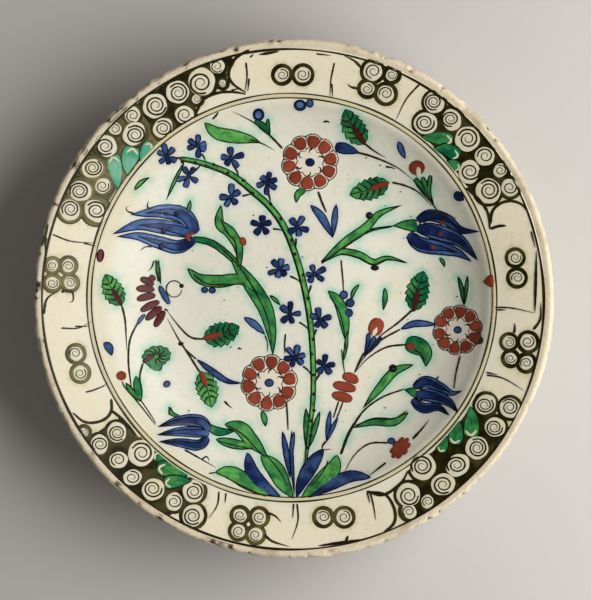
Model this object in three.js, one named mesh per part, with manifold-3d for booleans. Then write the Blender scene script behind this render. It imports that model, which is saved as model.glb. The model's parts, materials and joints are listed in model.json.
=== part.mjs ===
// A hand painted ceramic dish: a thrown and turned fritware body on a foot ring, a white slip and glaze coat
// on its face and its back, and flowers, scrolls and lines painted in raised strokes on the face.
// Millimetres, +Z up. The origin is at the middle of the face that the foot stands on, and +Y points to the
// top of the painting.
import * as THREE from "three";
import { mergeVertices } from "three/addons/utils/BufferGeometryUtils.js";
import Module from "manifold-3d";

const wasm = await Module();
wasm.setup();

// ---- Driving dimensions: the dish ----
const SIDES = 40; // flats round every turned surface
const DISH_R = 150;
const FLOOR_Z = 13.5; // glazed floor of the well above the table
const WELL_R = 42; // the floor is level out to here, then starts to climb
const RING_R = 114; // where the wall of the well turns into the rim
const WALL_RISE = 25; // height of that turn above the floor
const WALL_POWER = 3; // the wall climbs as this power of the way out
const RIM_SLOPE = 0.42;
const TURN = 5; // half the width of the rounding between wall and rim
const RIM_R = 145; // the glazed rim ends here, at the bare lip
// Section of the bare lip, from its underside round its edge to its crown: [out from RIM_R, up from the rim].
const LIP = [[3.2, -4.6], [5, -2.6], [5, -0.4], [3.4, 1.2], [1.2, 0.6]];
const THICKNESS = 6.4; // face to back, measured square to the face
const FACE_COAT = 0.7; // slip and glaze on the face
const BACK_COAT = 0.5;
const GAP = 0.3; // clearance between solids that touch

// ---- Driving dimensions: the foot ring ----
const FOOT_IN = 73; // face radii above the ring's two walls
const FOOT_OUT = 82;
const FOOT_FLAT = [77.5, 82]; // inner and outer radius of the face it stands on
const FOOT_BEVEL = 1.2;

// ---- Driving dimensions: the painting ----
const LEAF_T = 0.6; // how thick a leaf or petal of raised colour is
const STEM_T = 0.3;
const DISC_T = 0.9;
const LIFT = 1.05; // middle of the paint above the true face, clear of the flats under it
const STEM_W = 2.4;
const TWIG_W = 1.6;
const TIP_W = 0.8; // width at the pointed ends of a stroke
const STROKE_STEP = 11; // longest step along a stroke
const DOUBLE_RING = [115.3, 117.9]; // the two lines round the well
const LINE_R = 144; // the line inside the lip
const LINE_W = 0.9;
const BAND = [119, 142.5]; // rim paint keeps between these radii

const COLOURS = {
  fritware: 0xd9cbb2,
  slip: 0xe6dfcd,
  olive: 0x35341f,
  cobalt: 0x2b4486,
  green: 0x1f8a52,
  red: 0xa03a28,
  plum: 0x7a2e30,
};

// ---- The turned shape ----

function wallHeight(r) {
  const share = Math.max(0, (r - WELL_R) / (RING_R - WELL_R));
  return FLOOR_Z + WALL_RISE * share ** WALL_POWER;
}

function rimHeight(r) {
  return FLOOR_Z + WALL_RISE + RIM_SLOPE * (r - RING_R);
}

// Height of the glazed face at radius r: the well's wall, blended into the straight rim.
function faceHeight(r) {
  const blend = THREE.MathUtils.smoothstep(r, RING_R - TURN, RING_R + TURN);
  return THREE.MathUtils.lerp(wallHeight(r), rimHeight(r), blend);
}

// The point at depth d under the face, measured square to the face at radius r.
function under(r, d) {
  const half = 0.5;
  const slope = r < WELL_R ? 0 : faceHeight(r + half) - faceHeight(r - half);
  const tilt = Math.atan(slope);
  return new THREE.Vector2(r + d * Math.sin(tilt), faceHeight(r) - d * Math.cos(tilt));
}

// Closed solid of revolution round +Z from a profile of (radius, height) points.
function turned(profile) {
  return new THREE.LatheGeometry(profile, SIDES).rotateX(Math.PI / 2);
}

// Radii at which a surface between two radii is sampled: closer where the profile bends.
function radiiBetween(from, to) {
  const stations = [0, WELL_R, 60, 78, 92, 102, RING_R - TURN, RING_R, RING_R + TURN, 132, RIM_R];
  return [from, ...stations.filter((r) => r > from + 1 && r < to - 1), to];
}

function layerAt(depth, from, to) {
  return radiiBetween(from, to).map((r) => under(r, depth));
}

// A coat between two depths, from one face radius to another. It closes on the axis or on itself.
function coat(bottom, top, from, to) {
  const profile = [...layerAt(bottom, from, to), ...layerAt(top, from, to).reverse()];
  if (from > 0) profile.push(profile[0].clone());
  return profile;
}

function bodyProfile() {
  const back = layerAt(THICKNESS - BACK_COAT - GAP, 0, RIM_R);
  const face = layerAt(FACE_COAT + GAP, 0, RIM_R).reverse();
  const rimTop = faceHeight(RIM_R);
  const lip = LIP.map(([out, up]) => new THREE.Vector2(RIM_R + out, rimTop + up));
  return [...back, ...lip, ...face];
}

function footProfile() {
  const [flatIn, flatOut] = FOOT_FLAT;
  const top = [FOOT_OUT, (FOOT_IN + FOOT_OUT) / 2, FOOT_IN].map((r) => under(r, THICKNESS - BACK_COAT));
  const profile = [
    new THREE.Vector2(flatIn, 0),
    new THREE.Vector2(flatOut, 0),
    new THREE.Vector2(flatOut + FOOT_BEVEL, FOOT_BEVEL),
    ...top,
    new THREE.Vector2(flatIn - FOOT_BEVEL, FOOT_BEVEL),
  ];
  return [...profile, profile[0].clone()];
}

function lineProfile(radius) {
  const middle = new THREE.Vector2(radius, faceHeight(radius) + LIFT);
  const corners = [[-1, -1], [1, -1], [1, 1], [-1, 1], [-1, -1]];
  return corners.map(([x, y]) => new THREE.Vector2((x * LINE_W) / 2, (y * STEM_T) / 2).add(middle));
}

// ---- Strokes of paint, laid on the face ----

// Lifts a flat shape, drawn round z = 0, on to the face.
function layOnFace(shape, band = [0, DISH_R]) {
  const at = shape.attributes.position;
  for (let i = 0; i < at.count; i++) {
    const r = Math.hypot(at.getX(i), at.getY(i));
    const kept = THREE.MathUtils.clamp(r, ...band);
    const pull = r > 0 ? kept / r : 1;
    const height = faceHeight(kept) + LIFT + at.getZ(i);
    at.setXYZ(i, at.getX(i) * pull, at.getY(i) * pull, height);
  }
  return shape;
}

// A strip that follows a spline through [x, y] points, width(t) wide at the share t of its length.
function stroke(points, width, thickness, fewest = 1) {
  const spine = new THREE.SplineCurve(points.map(([x, y]) => new THREE.Vector2(x, y)));
  const steps = Math.max(fewest, Math.ceil(spine.getLength() / STROKE_STEP));
  const strip = new THREE.BoxGeometry(1, 1, thickness, steps, 1, 1);
  const at = strip.attributes.position;
  for (let i = 0; i < at.count; i++) {
    const share = at.getX(i) + 0.5;
    const middle = spine.getPointAt(share);
    const along = spine.getTangentAt(share);
    const side = at.getY(i) * width(share);
    at.setXYZ(i, middle.x - along.y * side, middle.y + along.x * side, at.getZ(i));
  }
  return layOnFace(strip);
}

function stem(points, width = STEM_W) {
  return stroke(points, () => width, STEM_T);
}

// A pointed leaf or petal from its foot to its tip, bowed sideways by bow at its middle.
function leaf(foot, tip, width, bow = 0) {
  const from = new THREE.Vector2(...foot);
  const to = new THREE.Vector2(...tip);
  const across = to.clone().sub(from).rotateAround(new THREE.Vector2(), Math.PI / 2).normalize();
  const middle = from.clone().add(to).multiplyScalar(0.5).addScaledVector(across, bow);
  const swell = (t) => TIP_W + (width - TIP_W) * Math.sin(Math.PI * t);
  return stroke([foot, middle.toArray(), tip], swell, LEAF_T, 3);
}

// A flat disc whose edge may swell into a number of lobes, the first of them at the angle turn from +X.
function disc([x, y], radius, lobes = 0, turn = 0, band = [0, DISH_R]) {
  const sides = lobes > 0 ? 2 * lobes : 8;
  const round = new THREE.CylinderGeometry(radius, radius, DISC_T, sides, 1, false, Math.PI / 2 + turn);
  round.rotateX(Math.PI / 2);
  const valley = 0.78;
  const at = round.attributes.position;
  for (let i = 0; i < at.count; i++) {
    const angle = Math.atan2(at.getY(i), at.getX(i)) - turn;
    const corner = Math.round((angle * sides) / (2 * Math.PI));
    const reach = lobes > 0 && corner % 2 !== 0 ? valley : 1;
    at.setXY(i, x + at.getX(i) * reach, y + at.getY(i) * reach);
  }
  return layOnFace(round, band);
}

// Three petals that open from the calyx towards the tip, spread wide at their ends.
function tulip(calyx, tip, width, spread) {
  const way = new THREE.Vector2(tip[0] - calyx[0], tip[1] - calyx[1]);
  const across = way.clone().rotateAround(new THREE.Vector2(), Math.PI / 2).normalize();
  const petals = [-1, 0, 1].map((side) => {
    const end = new THREE.Vector2(...tip).addScaledVector(across, side * spread);
    return leaf(calyx, end.toArray(), width, (-side * width) / 2);
  });
  return [...petals, disc(calyx, width / 2)];
}

// ---- Joining ----

function solidOf(geometry) {
  geometry.deleteAttribute("normal");
  geometry.deleteAttribute("uv");
  const merged = mergeVertices(geometry, 1e-3);
  return new wasm.Manifold(
    new wasm.Mesh({
      numProp: 3,
      vertProperties: merged.attributes.position.array,
      triVerts: new Uint32Array(merged.index.array),
    }),
  );
}

// One closed solid from strokes and discs that overlap.
function join(shapes) {
  const whole = shapes.map(solidOf).reduce((a, b) => a.add(b));
  const mesh = whole.getMesh();
  return new THREE.BufferGeometry()
    .setAttribute("position", new THREE.BufferAttribute(mesh.vertProperties, 3))
    .setIndex(new THREE.BufferAttribute(mesh.triVerts, 1));
}

function piece(name, geometry, colour, roughness = 0.25) {
  geometry.computeVertexNormals();
  const finish = new THREE.MeshStandardMaterial({ color: COLOURS[colour], roughness, metalness: 0 });
  const mesh = new THREE.Mesh(geometry, finish);
  mesh.name = name;
  return mesh;
}

// ---- The ceramic body and its coats ----

const dish = new THREE.Group();
const pottery = new THREE.Group();
pottery.add(
  piece("fritware_body", turned(bodyProfile()), "fritware", 0.7),
  piece("foot_ring", turned(footProfile()), "fritware", 0.85),
  piece("face_coat", turned(coat(FACE_COAT, 0, 0, RIM_R - 1)), "slip"),
  piece("back_coat", turned(coat(THICKNESS, THICKNESS - BACK_COAT, FOOT_OUT + 1.5, RIM_R - 1)), "slip"),
  piece("foot_recess_coat", turned(coat(THICKNESS, THICKNESS - BACK_COAT, 0, FOOT_IN - 1.5)), "slip"),
);

// ---- The lines round the well and inside the lip ----

const lines = new THREE.Group();
lines.add(
  piece("ring_line_inner", turned(lineProfile(DOUBLE_RING[0])), "olive"),
  piece("ring_line_outer", turned(lineProfile(DOUBLE_RING[1])), "olive"),
  piece("rim_line", turned(lineProfile(LINE_R)), "olive"),
);

// ---- The rim: rocks and scrolls ----

// The dark ground of a heap of rocks: a patch of the rim between two bearings, in degrees from +Y, that
// reaches the ring in its middle, draws back to the lip line at its ends and has a scalloped inner edge.
function rock(from, to, scallops) {
  const perScallop = 4;
  const endDepth = 9; // radial depth of the patch at its ends
  const bulge = 2.5;
  const patch = new THREE.BoxGeometry(1, 1, LEAF_T, scallops * perScallop, 1, 1);
  const at = patch.attributes.position;
  for (let i = 0; i < at.count; i++) {
    const share = at.getX(i) + 0.5;
    const bearing = THREE.MathUtils.degToRad(THREE.MathUtils.lerp(from, to, share));
    const drawnBack = Math.abs(2 * share - 1) ** 3;
    const edge = THREE.MathUtils.lerp(BAND[0] + bulge, BAND[1] - endDepth, drawnBack);
    const inner = edge - bulge * Math.abs(Math.sin(Math.PI * share * scallops));
    const radius = at.getY(i) > 0 ? BAND[1] : inner;
    at.setXY(i, -radius * Math.sin(bearing), radius * Math.cos(bearing));
  }
  return layOnFace(patch);
}

// Bearings run the way the hands of a clock don't, so +90 is at -X.
const ROCKS = [
  ["rock_upper_left", 72, 13, 8],
  ["rock_upper_right", -31, -67, 6],
  ["rock_lower_left", 152, 122, 6],
  ["rock_lower_right", -115, -156, 7],
];
const rim = new THREE.Group();
for (const [name, from, to, scallops] of ROCKS) {
  rim.add(piece(name, rock(from, to, scallops), "olive"));
}

// Small groups of scrolls, drawn at the top of the rim and turned to their bearing in degrees from +Y.
const SCROLL_R = 6.6;
const QUAD_R = 12; // four scrolls drawn as one disc with four lobes
const scrollPair = () => join([disc([-6, 129], SCROLL_R), disc([6, 129], SCROLL_R)]);
const scrollQuad = () => disc([0, 131], QUAD_R, 4, Math.PI / 4, BAND);
const SCROLL_GROUPS = [
  ["scroll_pair_top", scrollPair, 0.5],
  ["scroll_quad_top", scrollQuad, -21.8],
  ["scroll_pair_right", scrollPair, -82],
  ["scroll_quad_right", scrollQuad, -103.2],
  ["scroll_pair_bottom", scrollPair, -169.7],
  ["scroll_quad_bottom", scrollQuad, 168.5],
  ["scroll_pair_left", scrollPair, 106.8],
  ["scroll_quad_left", scrollQuad, 84],
];
for (const [name, shape, bearing] of SCROLL_GROUPS) {
  const group = piece(name, shape(), "olive");
  group.rotation.z = THREE.MathUtils.degToRad(bearing);
  rim.add(group);
}

// ---- The well: flowers on their stems ----

const well = new THREE.Group();
const flower = (name, colour, ...shapes) => well.add(piece(name, join(shapes.flat()), colour));

// A hyacinth: florets on short stalks along one long arched stem.
const HYACINTH_STEM = [
  [-71, 80], [-66, 80], [-51, 77], [-30, 68], [-15, 54], [-6, 42], [0, 28], [5, 11], [9, -10], [11, -34],
  [11, -58], [9, -80], [6, -97],
];
const FLORETS = [
  [-55, 87], [-36, 81], [-59, 70], [-15, 67], [-36, 59], [-18, 42], [2, 41], [-7, 17], [12, 14],
  [-1, -9], [15, -12], [3, -34], [18, -39],
];
const FLORET_R = 5.2;
const hyacinthSpine = new THREE.SplineCurve(HYACINTH_STEM.map(([x, y]) => new THREE.Vector2(x, y)));
const florets = FLORETS.map((centre) => {
  const here = new THREE.Vector2(...centre);
  const places = hyacinthSpine.getPoints(80);
  const nearest = places.reduce((a, b) => (a.distanceTo(here) < b.distanceTo(here) ? a : b));
  return [disc(centre, FLORET_R), stem([centre, nearest.toArray()], TWIG_W)];
});
flower("hyacinth", "cobalt", stem(HYACINTH_STEM), disc(HYACINTH_STEM[0], FLORET_R), florets.flat());

flower(
  "tulip_left",
  "cobalt",
  tulip([-57, 34], [-100, 45], 11, 7),
  stem([[-56, 34], [-36, 21], [-28, 11], [-17, -6], [-12, -19], [-11, -30]]),
  leaf([-27, 10], [-42, 53], 5, 6),
  leaf([-22, 3], [-62, 17], 6, -4),
);
flower(
  "tulip_right",
  "cobalt",
  tulip([69, 42], [104, 31], 11, 7),
  stem([[16, 21], [32, 33], [50, 40], [69, 42]]),
  leaf([33, 34], [61, 54], 5, -3),
  leaf([17, 22], [66, 21], 5, 2),
);
flower(
  "tulip_lower_left",
  "cobalt",
  tulip([-48, -77], [-77, -77], 10, 5),
  stem([[-48, -77], [-33, -78], [-22, -84], [-15, -93]]),
  leaf([-44, -77], [-72, -62], 4, 3),
);
flower(
  "tulip_lower_right",
  "cobalt",
  tulip([68, -52], [92, -57], 10, 6),
  stem([[68, -52], [51, -56], [39, -66], [31, -79], [28, -88]]),
  leaf([37, -68], [67, -39], 4, -4),
  leaf([31, -79], [66, -66], 5, -4),
);

const ROSETTE_R = 15.5;
flower(
  "rosette_top",
  "red",
  disc([9, 80], ROSETTE_R, 10),
  stem([[13, 68], [16, 59], [23, 38]], TWIG_W),
  leaf([19, 47], [12, 59], 3),
  leaf([19, 47], [25, 59], 3),
);
flower(
  "rosette_centre",
  "red",
  disc([-14, -49], ROSETTE_R, 10),
  stem([[-9, -61], [-5, -74], [-4, -92]], TWIG_W),
);
flower("rosette_right", "red", disc([94, -18], 14, 10), stem([[95, -29], [95, -37], [92, -49]], TWIG_W));

const CARNATION_EYE = [-76, 0];
const carnationPetals = [[-91, 12], [-95, 5], [-93, -4], [-87, -12], [-78, -17]];
flower(
  "carnation",
  "plum",
  carnationPetals.map((tip) => leaf(CARNATION_EYE, tip, 6)),
  disc(CARNATION_EYE, 4),
  stem([[-76, 0], [-68, -16], [-56, -36], [-40, -46]], TWIG_W),
);

// A single rounded leaf on a twig: [name, leaf foot, leaf tip, width, twig points].
const LEAF_TWIGS = [
  ["leaf_top", [44, 88], [28, 106], 10, [[44, 88], [47, 85]]],
  ["leaf_upper_right", [50, 66], [35, 67], 10, [[50, 66], [66, 63], [80, 52]]],
  ["leaf_right", [70, -3], [77, 17], 12, [[70, -3], [64, -13], [56, -18]]],
  ["leaf_left", [-101, -3], [-104, 17], 12, [[-101, -3], [-99, -14], [-97, -28]]],
  ["leaf_curled", [-88, -41], [-74, -29], 9, [[-88, -41], [-90, -47]]],
  ["leaf_middle_left", [-50, -27], [-33, -18], 9, [[-50, -27], [-55, -29]]],
  ["leaf_lower_left", [-54, -42], [-49, -61], 10, [[-54, -42], [-53.5, -40]]],
  ["leaf_small_right", [64, -29], [77, -32], 7, [[64, -29], [54, -29], [41, -36]]],
];
for (const [name, foot, tip, width, twig] of LEAF_TWIGS) {
  flower(name, "green", leaf(foot, tip, width), stem(twig, TWIG_W));
}

// A bud in its calyx on a twig: [name, colour, calyx, bud tip, width, twig points].
const BUDS = [
  ["bud_top", "cobalt", [-15, 98], [-22, 110], 6, [[-15, 98], [-10, 92], [-8, 86]]],
  ["bud_upper_right", "red", [74, 67], [69, 81], 7, [[74, 67], [78, 58], [84, 49]]],
  ["bud_middle", "red", [45, -25], [50, -11], 7, [[45, -25], [41, -33], [36, -41]]],
  ["bud_left", "red", [-91, -51], [-103, -43], 6, [[-91, -51], [-85, -59], [-80, -69]]],
  ["bud_lower_right", "red", [56, -82], [67, -88], 9, [[56, -82], [45, -85], [33, -92]]],
  ["bud_triple", "red", [27, -60], [34, -41], 12, [[27, -60], [24, -68], [19, -80]]],
];
for (const [name, colour, calyx, tip, width, twig] of BUDS) {
  flower(name, colour, leaf(calyx, tip, width), disc(calyx, 2.6), stem(twig, TWIG_W));
}

flower("long_leaf_top", "green", leaf([-19, 90], [-52, 101], 5, 2));
flower(
  "sprig",
  "green",
  stem([[30, 19], [29, 2], [30, -10], [30, -30]], TWIG_W),
  leaf([30, -8], [23, 5], 4),
  leaf([30, -8], [36, 6], 4),
);
flower(
  "spray_upper_right",
  "cobalt",
  stem([[27, 86], [40, 83], [54, 79], [63, 73]], TWIG_W),
  leaf([42, 82], [29, 89], 4),
);

// The tuft that all the stems spring from.
const TUFT = [2, -110];
const TUFT_LEAVES = [
  [[-26, -91], 8, 2], [[-44, -99], 7, 2], [[-11, -97], 7, 1], [[16, -90], 8, -2], [[27, -93], 8, -2],
  [[45, -102], 7, -2], [[5, -98], 4, 0],
];
const tuftLeaves = TUFT_LEAVES.map(([tip, width, bow]) => leaf(TUFT, tip, width, bow));
flower("leaf_tuft", "green", disc(TUFT, 3.5), tuftLeaves);

// Halves of flowers that the double ring cuts off.
const CUT_FLOWERS = [
  ["cut_bud_left", "plum", [-111, 25], 3],
  ["cut_bud_right", "red", [112, 10], 2.6],
  ["cut_leaf_right", "cobalt", [94, 60], 3.2],
  ["cut_floret_top", "cobalt", [3, 110], 3.4],
];
for (const [name, colour, centre, radius] of CUT_FLOWERS) {
  flower(name, colour, disc(centre, radius, 0, 0, [0, DOUBLE_RING[0] - LINE_W]));
}

dish.add(pottery, lines, rim, well);
export default dish;
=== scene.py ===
# %% [markdown]
# A hand painted ceramic dish.
# The real dish is one fired piece: a pale sandy body, a white slip and glaze coat, and colours laid on
# the slip with a brush. Here each of those layers is its own mesh, worked out with numpy as a function
# of two parameters, so that a layer can get the finish that the real layer has. Lengths are in
# millimetres until a mesh is made, because that is how a potter would give them.

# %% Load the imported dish
import json
import math

import bmesh
import bpy
import numpy as np
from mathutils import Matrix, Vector

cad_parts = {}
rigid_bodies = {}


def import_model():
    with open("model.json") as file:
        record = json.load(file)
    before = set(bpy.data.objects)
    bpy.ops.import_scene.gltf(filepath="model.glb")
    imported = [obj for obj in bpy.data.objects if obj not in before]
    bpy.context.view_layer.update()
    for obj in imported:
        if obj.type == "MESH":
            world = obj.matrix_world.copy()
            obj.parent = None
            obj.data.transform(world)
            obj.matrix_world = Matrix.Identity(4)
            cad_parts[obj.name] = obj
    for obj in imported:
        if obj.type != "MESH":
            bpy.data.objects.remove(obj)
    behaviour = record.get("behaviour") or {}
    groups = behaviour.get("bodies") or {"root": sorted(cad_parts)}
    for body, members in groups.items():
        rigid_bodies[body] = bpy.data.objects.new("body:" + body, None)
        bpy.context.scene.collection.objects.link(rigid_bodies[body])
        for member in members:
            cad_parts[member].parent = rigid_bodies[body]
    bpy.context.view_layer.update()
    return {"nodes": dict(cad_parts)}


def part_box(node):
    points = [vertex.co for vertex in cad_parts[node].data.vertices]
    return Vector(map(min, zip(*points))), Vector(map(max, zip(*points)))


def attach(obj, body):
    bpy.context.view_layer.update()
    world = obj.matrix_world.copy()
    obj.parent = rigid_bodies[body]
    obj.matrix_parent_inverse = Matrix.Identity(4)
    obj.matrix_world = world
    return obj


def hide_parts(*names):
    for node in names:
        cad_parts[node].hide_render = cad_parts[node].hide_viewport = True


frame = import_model()
MM = 0.001
WELD_M = 1e-7
TAU = 2 * math.pi
print("nodes:", len(frame["nodes"]))

# %% [markdown]
# The turned shape.
# Everything painted has to lie on the face, so the face's height is one formula of the radius: a level
# floor, a wall that climbs as the cube of the way out, and a straight rim, blended where they meet. The
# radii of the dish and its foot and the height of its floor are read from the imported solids; the
# profile's other sizes are the design's own, stated again here.

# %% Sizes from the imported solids
def box_mm(node):
    """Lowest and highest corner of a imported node, in millimetres."""
    low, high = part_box(node)
    return np.array(low) / MM, np.array(high) / MM


DISH_R = box_mm("fritware_body")[1][0]
FACE_COAT = 0.7
FLOOR_Z = box_mm("face_coat")[0][2] + FACE_COAT
WELL_R = 42.0
RING_R = 114.0
WALL_RISE = 25.0
RIM_SLOPE = 0.42
TURN = 5.0
RIM_R = 145.0
THICKNESS = 6.4
BACK_COAT = 0.5
FOOT_R = box_mm("foot_ring")[1][0]
print(f"dish radius {DISH_R:.1f} mm, floor at {FLOOR_Z:.1f} mm, foot radius {FOOT_R:.1f} mm")


# %% Height of the face
def smoothstep(x, low, high):
    t = np.clip((x - low) / (high - low), 0, 1)
    return t * t * (3 - 2 * t)


def face_height(r):
    """Height of the true turned face at radius r: wall = floor + rise * share cubed, rim = a cone."""
    r = np.asarray(r, float)
    share = np.maximum(0, (r - WELL_R) / (RING_R - WELL_R))
    wall = FLOOR_Z + WALL_RISE * share**3
    cone = FLOOR_Z + WALL_RISE + RIM_SLOPE * (r - RING_R)
    blend = smoothstep(r, RING_R - TURN, RING_R + TURN)
    return wall + (cone - wall) * blend


def hand_wobble(angle, r):
    """How far a hand-thrown dish strays from true: two slow waves that set in high on the wall."""
    waves = 0.28 * np.cos(2 * angle + 0.7) + 0.16 * np.cos(3 * angle + 2.1)
    return waves * (r / DISH_R) ** 2 * smoothstep(r, 86, 120)


def face_z(x, y):
    """Height of the thrown face under the plan point (x, y)."""
    r = np.hypot(x, y)
    return face_height(r) + hand_wobble(np.arctan2(y, x), r)


def under(r, depth):
    """The (radius, height) at a depth under the face, measured square to the face."""
    half = 0.5
    slope = np.where(r < WELL_R, 0.0, face_height(r + half) - face_height(r - half))
    tilt = np.arctan(slope)
    return r + depth * np.sin(tilt), face_height(r) - depth * np.cos(tilt)


RIM_Z = float(face_height(RIM_R))
print("height at the ring and at the lip:", face_height([RING_R, RIM_R]).round(1))


# %% [markdown]
# Putting numpy surfaces into Blender.
# A grid of points becomes a mesh in one call. Every mesh but the floor is closed, so its signed volume
# tells whether the faces point outwards, and they are turned round where they don't. Numbers that a
# finish needs at each point, such as how far it is from the edge of a brush stroke, go along as
# attributes.

# %% Mesh helpers
def grid_quads(rows, cols, wrap_rows=True):
    """Corners of the quads of a rows x cols grid: each row is a loop, and so are the columns if asked."""
    i = np.arange(rows if wrap_rows else rows - 1)[:, None]
    j = np.arange(cols)[None, :]
    right, below = (j + 1) % cols, (i + 1) % rows
    corners = [i * cols + j, i * cols + right, below * cols + right, below * cols + j]
    return np.stack(corners, -1).reshape(-1, 4)


def signed_volume(points, quads):
    """Sum of the tetrahedra from the origin to each quad's triangles: negative for a shape inside out."""
    p = points[quads]
    first = np.einsum("ij,ij->i", p[:, 0], np.cross(p[:, 1], p[:, 2]))
    second = np.einsum("ij,ij->i", p[:, 0], np.cross(p[:, 2], p[:, 3]))
    return (first.sum() + second.sum()) / 6


def add_mesh(name, points, quads, finish, numbers=None, uv=None, weld=False):
    """Makes an object at the origin from points in millimetres, with its faces outwards."""
    if signed_volume(points, quads) < 0:
        quads = quads[:, ::-1]
    mesh = bpy.data.meshes.new(name)
    mesh.vertices.add(len(points))
    mesh.vertices.foreach_set("co", (points * MM).astype(np.float32).ravel())
    mesh.loops.add(quads.size)
    mesh.loops.foreach_set("vertex_index", quads.astype(np.int32).ravel())
    mesh.polygons.add(len(quads))
    mesh.polygons.foreach_set("loop_start", np.arange(0, quads.size, 4, dtype=np.int32))
    for key, values in (numbers or {}).items():
        layer = mesh.attributes.new(key, "FLOAT", "POINT")
        layer.data.foreach_set("value", values.astype(np.float32))
    if uv is not None:
        layer = mesh.uv_layers.new(name="brush")
        layer.data.foreach_set("uv", uv[quads.ravel()].astype(np.float32).ravel())
    mesh.update(calc_edges=True)
    if weld:
        work = bmesh.new()
        work.from_mesh(mesh)
        bmesh.ops.remove_doubles(work, verts=work.verts, dist=WELD_M)
        work.to_mesh(mesh)
        work.free()
    mesh.validate()
    mesh.shade_smooth()
    made = bpy.data.objects.new(name, mesh)
    bpy.context.scene.collection.objects.link(made)
    mesh.materials.append(finish)
    return made


def settle(made, slot, *nodes):
    """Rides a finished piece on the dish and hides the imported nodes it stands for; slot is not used."""
    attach(made, "root")
    if nodes:
        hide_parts(*nodes)


# %% [markdown]
# Shader maths in Python.
# Node trees are easier to read as expressions. A Value wraps a socket, and + - * on it add Math nodes;
# every other node comes from one method that takes its type, its settings and its inputs.

# %% A small shader language
class Value:
    """A shader number or colour that arithmetic can be done on."""

    def __init__(self, finish, socket):
        self.finish, self.socket = finish, socket

    def maths(self, operation, other, turned_round=False):
        pair = (other, self) if turned_round else (self, other)
        return self.finish.node("ShaderNodeMath", {"operation": operation}, dict(enumerate(pair)))

    def __add__(self, other):
        return self.maths("ADD", other)

    def __radd__(self, other):
        return self.maths("ADD", other, True)

    def __sub__(self, other):
        return self.maths("SUBTRACT", other)

    def __rsub__(self, other):
        return self.maths("SUBTRACT", other, True)

    def __mul__(self, other):
        return self.maths("MULTIPLY", other)

    def __rmul__(self, other):
        return self.maths("MULTIPLY", other, True)

    def step(self, low, high):
        """0 below low, 1 above high, a smooth ramp between; falls instead where low is above high."""
        values = {"Value": self, "From Min": low, "From Max": high}
        settings = {"interpolation_type": "SMOOTHSTEP"}
        if low < high:
            return self.finish.node("ShaderNodeMapRange", settings, values)
        values.update({"From Min": high, "From Max": low, "To Min": 1.0, "To Max": 0.0})
        return self.finish.node("ShaderNodeMapRange", settings, values)


class Finish:
    """A material with one Principled shader, built up from nodes."""

    def __init__(self, name, constants=None):
        self.material = bpy.data.materials.new(name)
        self.material.use_nodes = True
        self.tree = self.material.node_tree
        self.shader = self.tree.nodes["Principled BSDF"]
        for key, value in (constants or {}).items():
            self.shader.inputs[key].default_value = value

    def node(self, kind, settings=None, values=None, output=0):
        made = self.tree.nodes.new(kind)
        for key, value in (settings or {}).items():
            setattr(made, key, value)
        for key, value in (values or {}).items():
            self.feed(made.inputs[key], value)
        return Value(self, made.outputs[output])

    def feed(self, socket, value):
        if isinstance(value, Value):
            self.tree.links.new(value.socket, socket)
        else:
            socket.default_value = value

    def places(self, stretch=(1, 1, 1)):
        """Object coordinates in millimetres, stretched where a pattern has a grain."""
        spot = self.node("ShaderNodeTexCoord", output="Object")
        scale = [s / MM for s in stretch]
        return self.node("ShaderNodeVectorMath", {"operation": "MULTIPLY"}, {0: spot, 1: scale})

    def noise(self, size, detail=2.0, where=None, roughness=0.5):
        """Cloudy noise whose blotches are about size millimetres across."""
        where = where or self.places()
        values = {"Vector": where, "Scale": 1 / size, "Detail": detail, "Roughness": roughness}
        return self.node("ShaderNodeTexNoise", None, values)

    def cells(self, size, feature="F1"):
        """Distance to the nearest of scattered points about size millimetres apart, in those sizes."""
        values = {"Vector": self.places(), "Scale": 1 / size}
        return self.node("ShaderNodeTexVoronoi", {"feature": feature}, values)

    def mix(self, share, a, b):
        """From a to b by share; each is a colour of the tree or a web colour such as d9cbb2."""
        a, b = (paint_colour(c) if isinstance(c, str) else c for c in (a, b))
        settings = {"data_type": "RGBA", "blend_type": "MIX", "clamp_factor": True}
        return self.node("ShaderNodeMix", settings, {0: share, 6: a, 7: b}, output=2)

    def number(self, name):
        return self.node("ShaderNodeAttribute", {"attribute_name": name}, output="Fac")

    def brush(self):
        """The stroke's own coordinates: millimetres along it and across it."""
        return self.node("ShaderNodeUVMap", {"uv_map": "brush"})

    def done(self, colour, roughness, height, bump_mm):
        bump = {"Height": height, "Distance": bump_mm * MM, "Strength": 1.0}
        self.feed(self.shader.inputs["Base Color"], colour)
        self.feed(self.shader.inputs["Roughness"], roughness)
        self.feed(self.shader.inputs["Normal"], self.node("ShaderNodeBump", None, bump))
        return self.material


def paint_colour(code):
    """A web colour such as d9cbb2 as linear red, green, blue and alpha."""
    parts = [int(code[i : i + 2], 16) / 255 for i in (0, 2, 4)]
    return [p / 12.92 if p <= 0.04045 else ((p + 0.055) / 1.055) ** 2.4 for p in parts] + [1.0]


# %% [markdown]
# Finishes of the pottery.
# Old glaze is never one flat colour. The ivory slip clouds from place to place, grows yellower on the
# rim where it is thinner, and is peppered with pinholes; a net of fine cracks runs through the glaze.
# Where colours bled, the slip near a stroke is stained green or blue: how far is worked out later and
# stored in the mesh.

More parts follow.
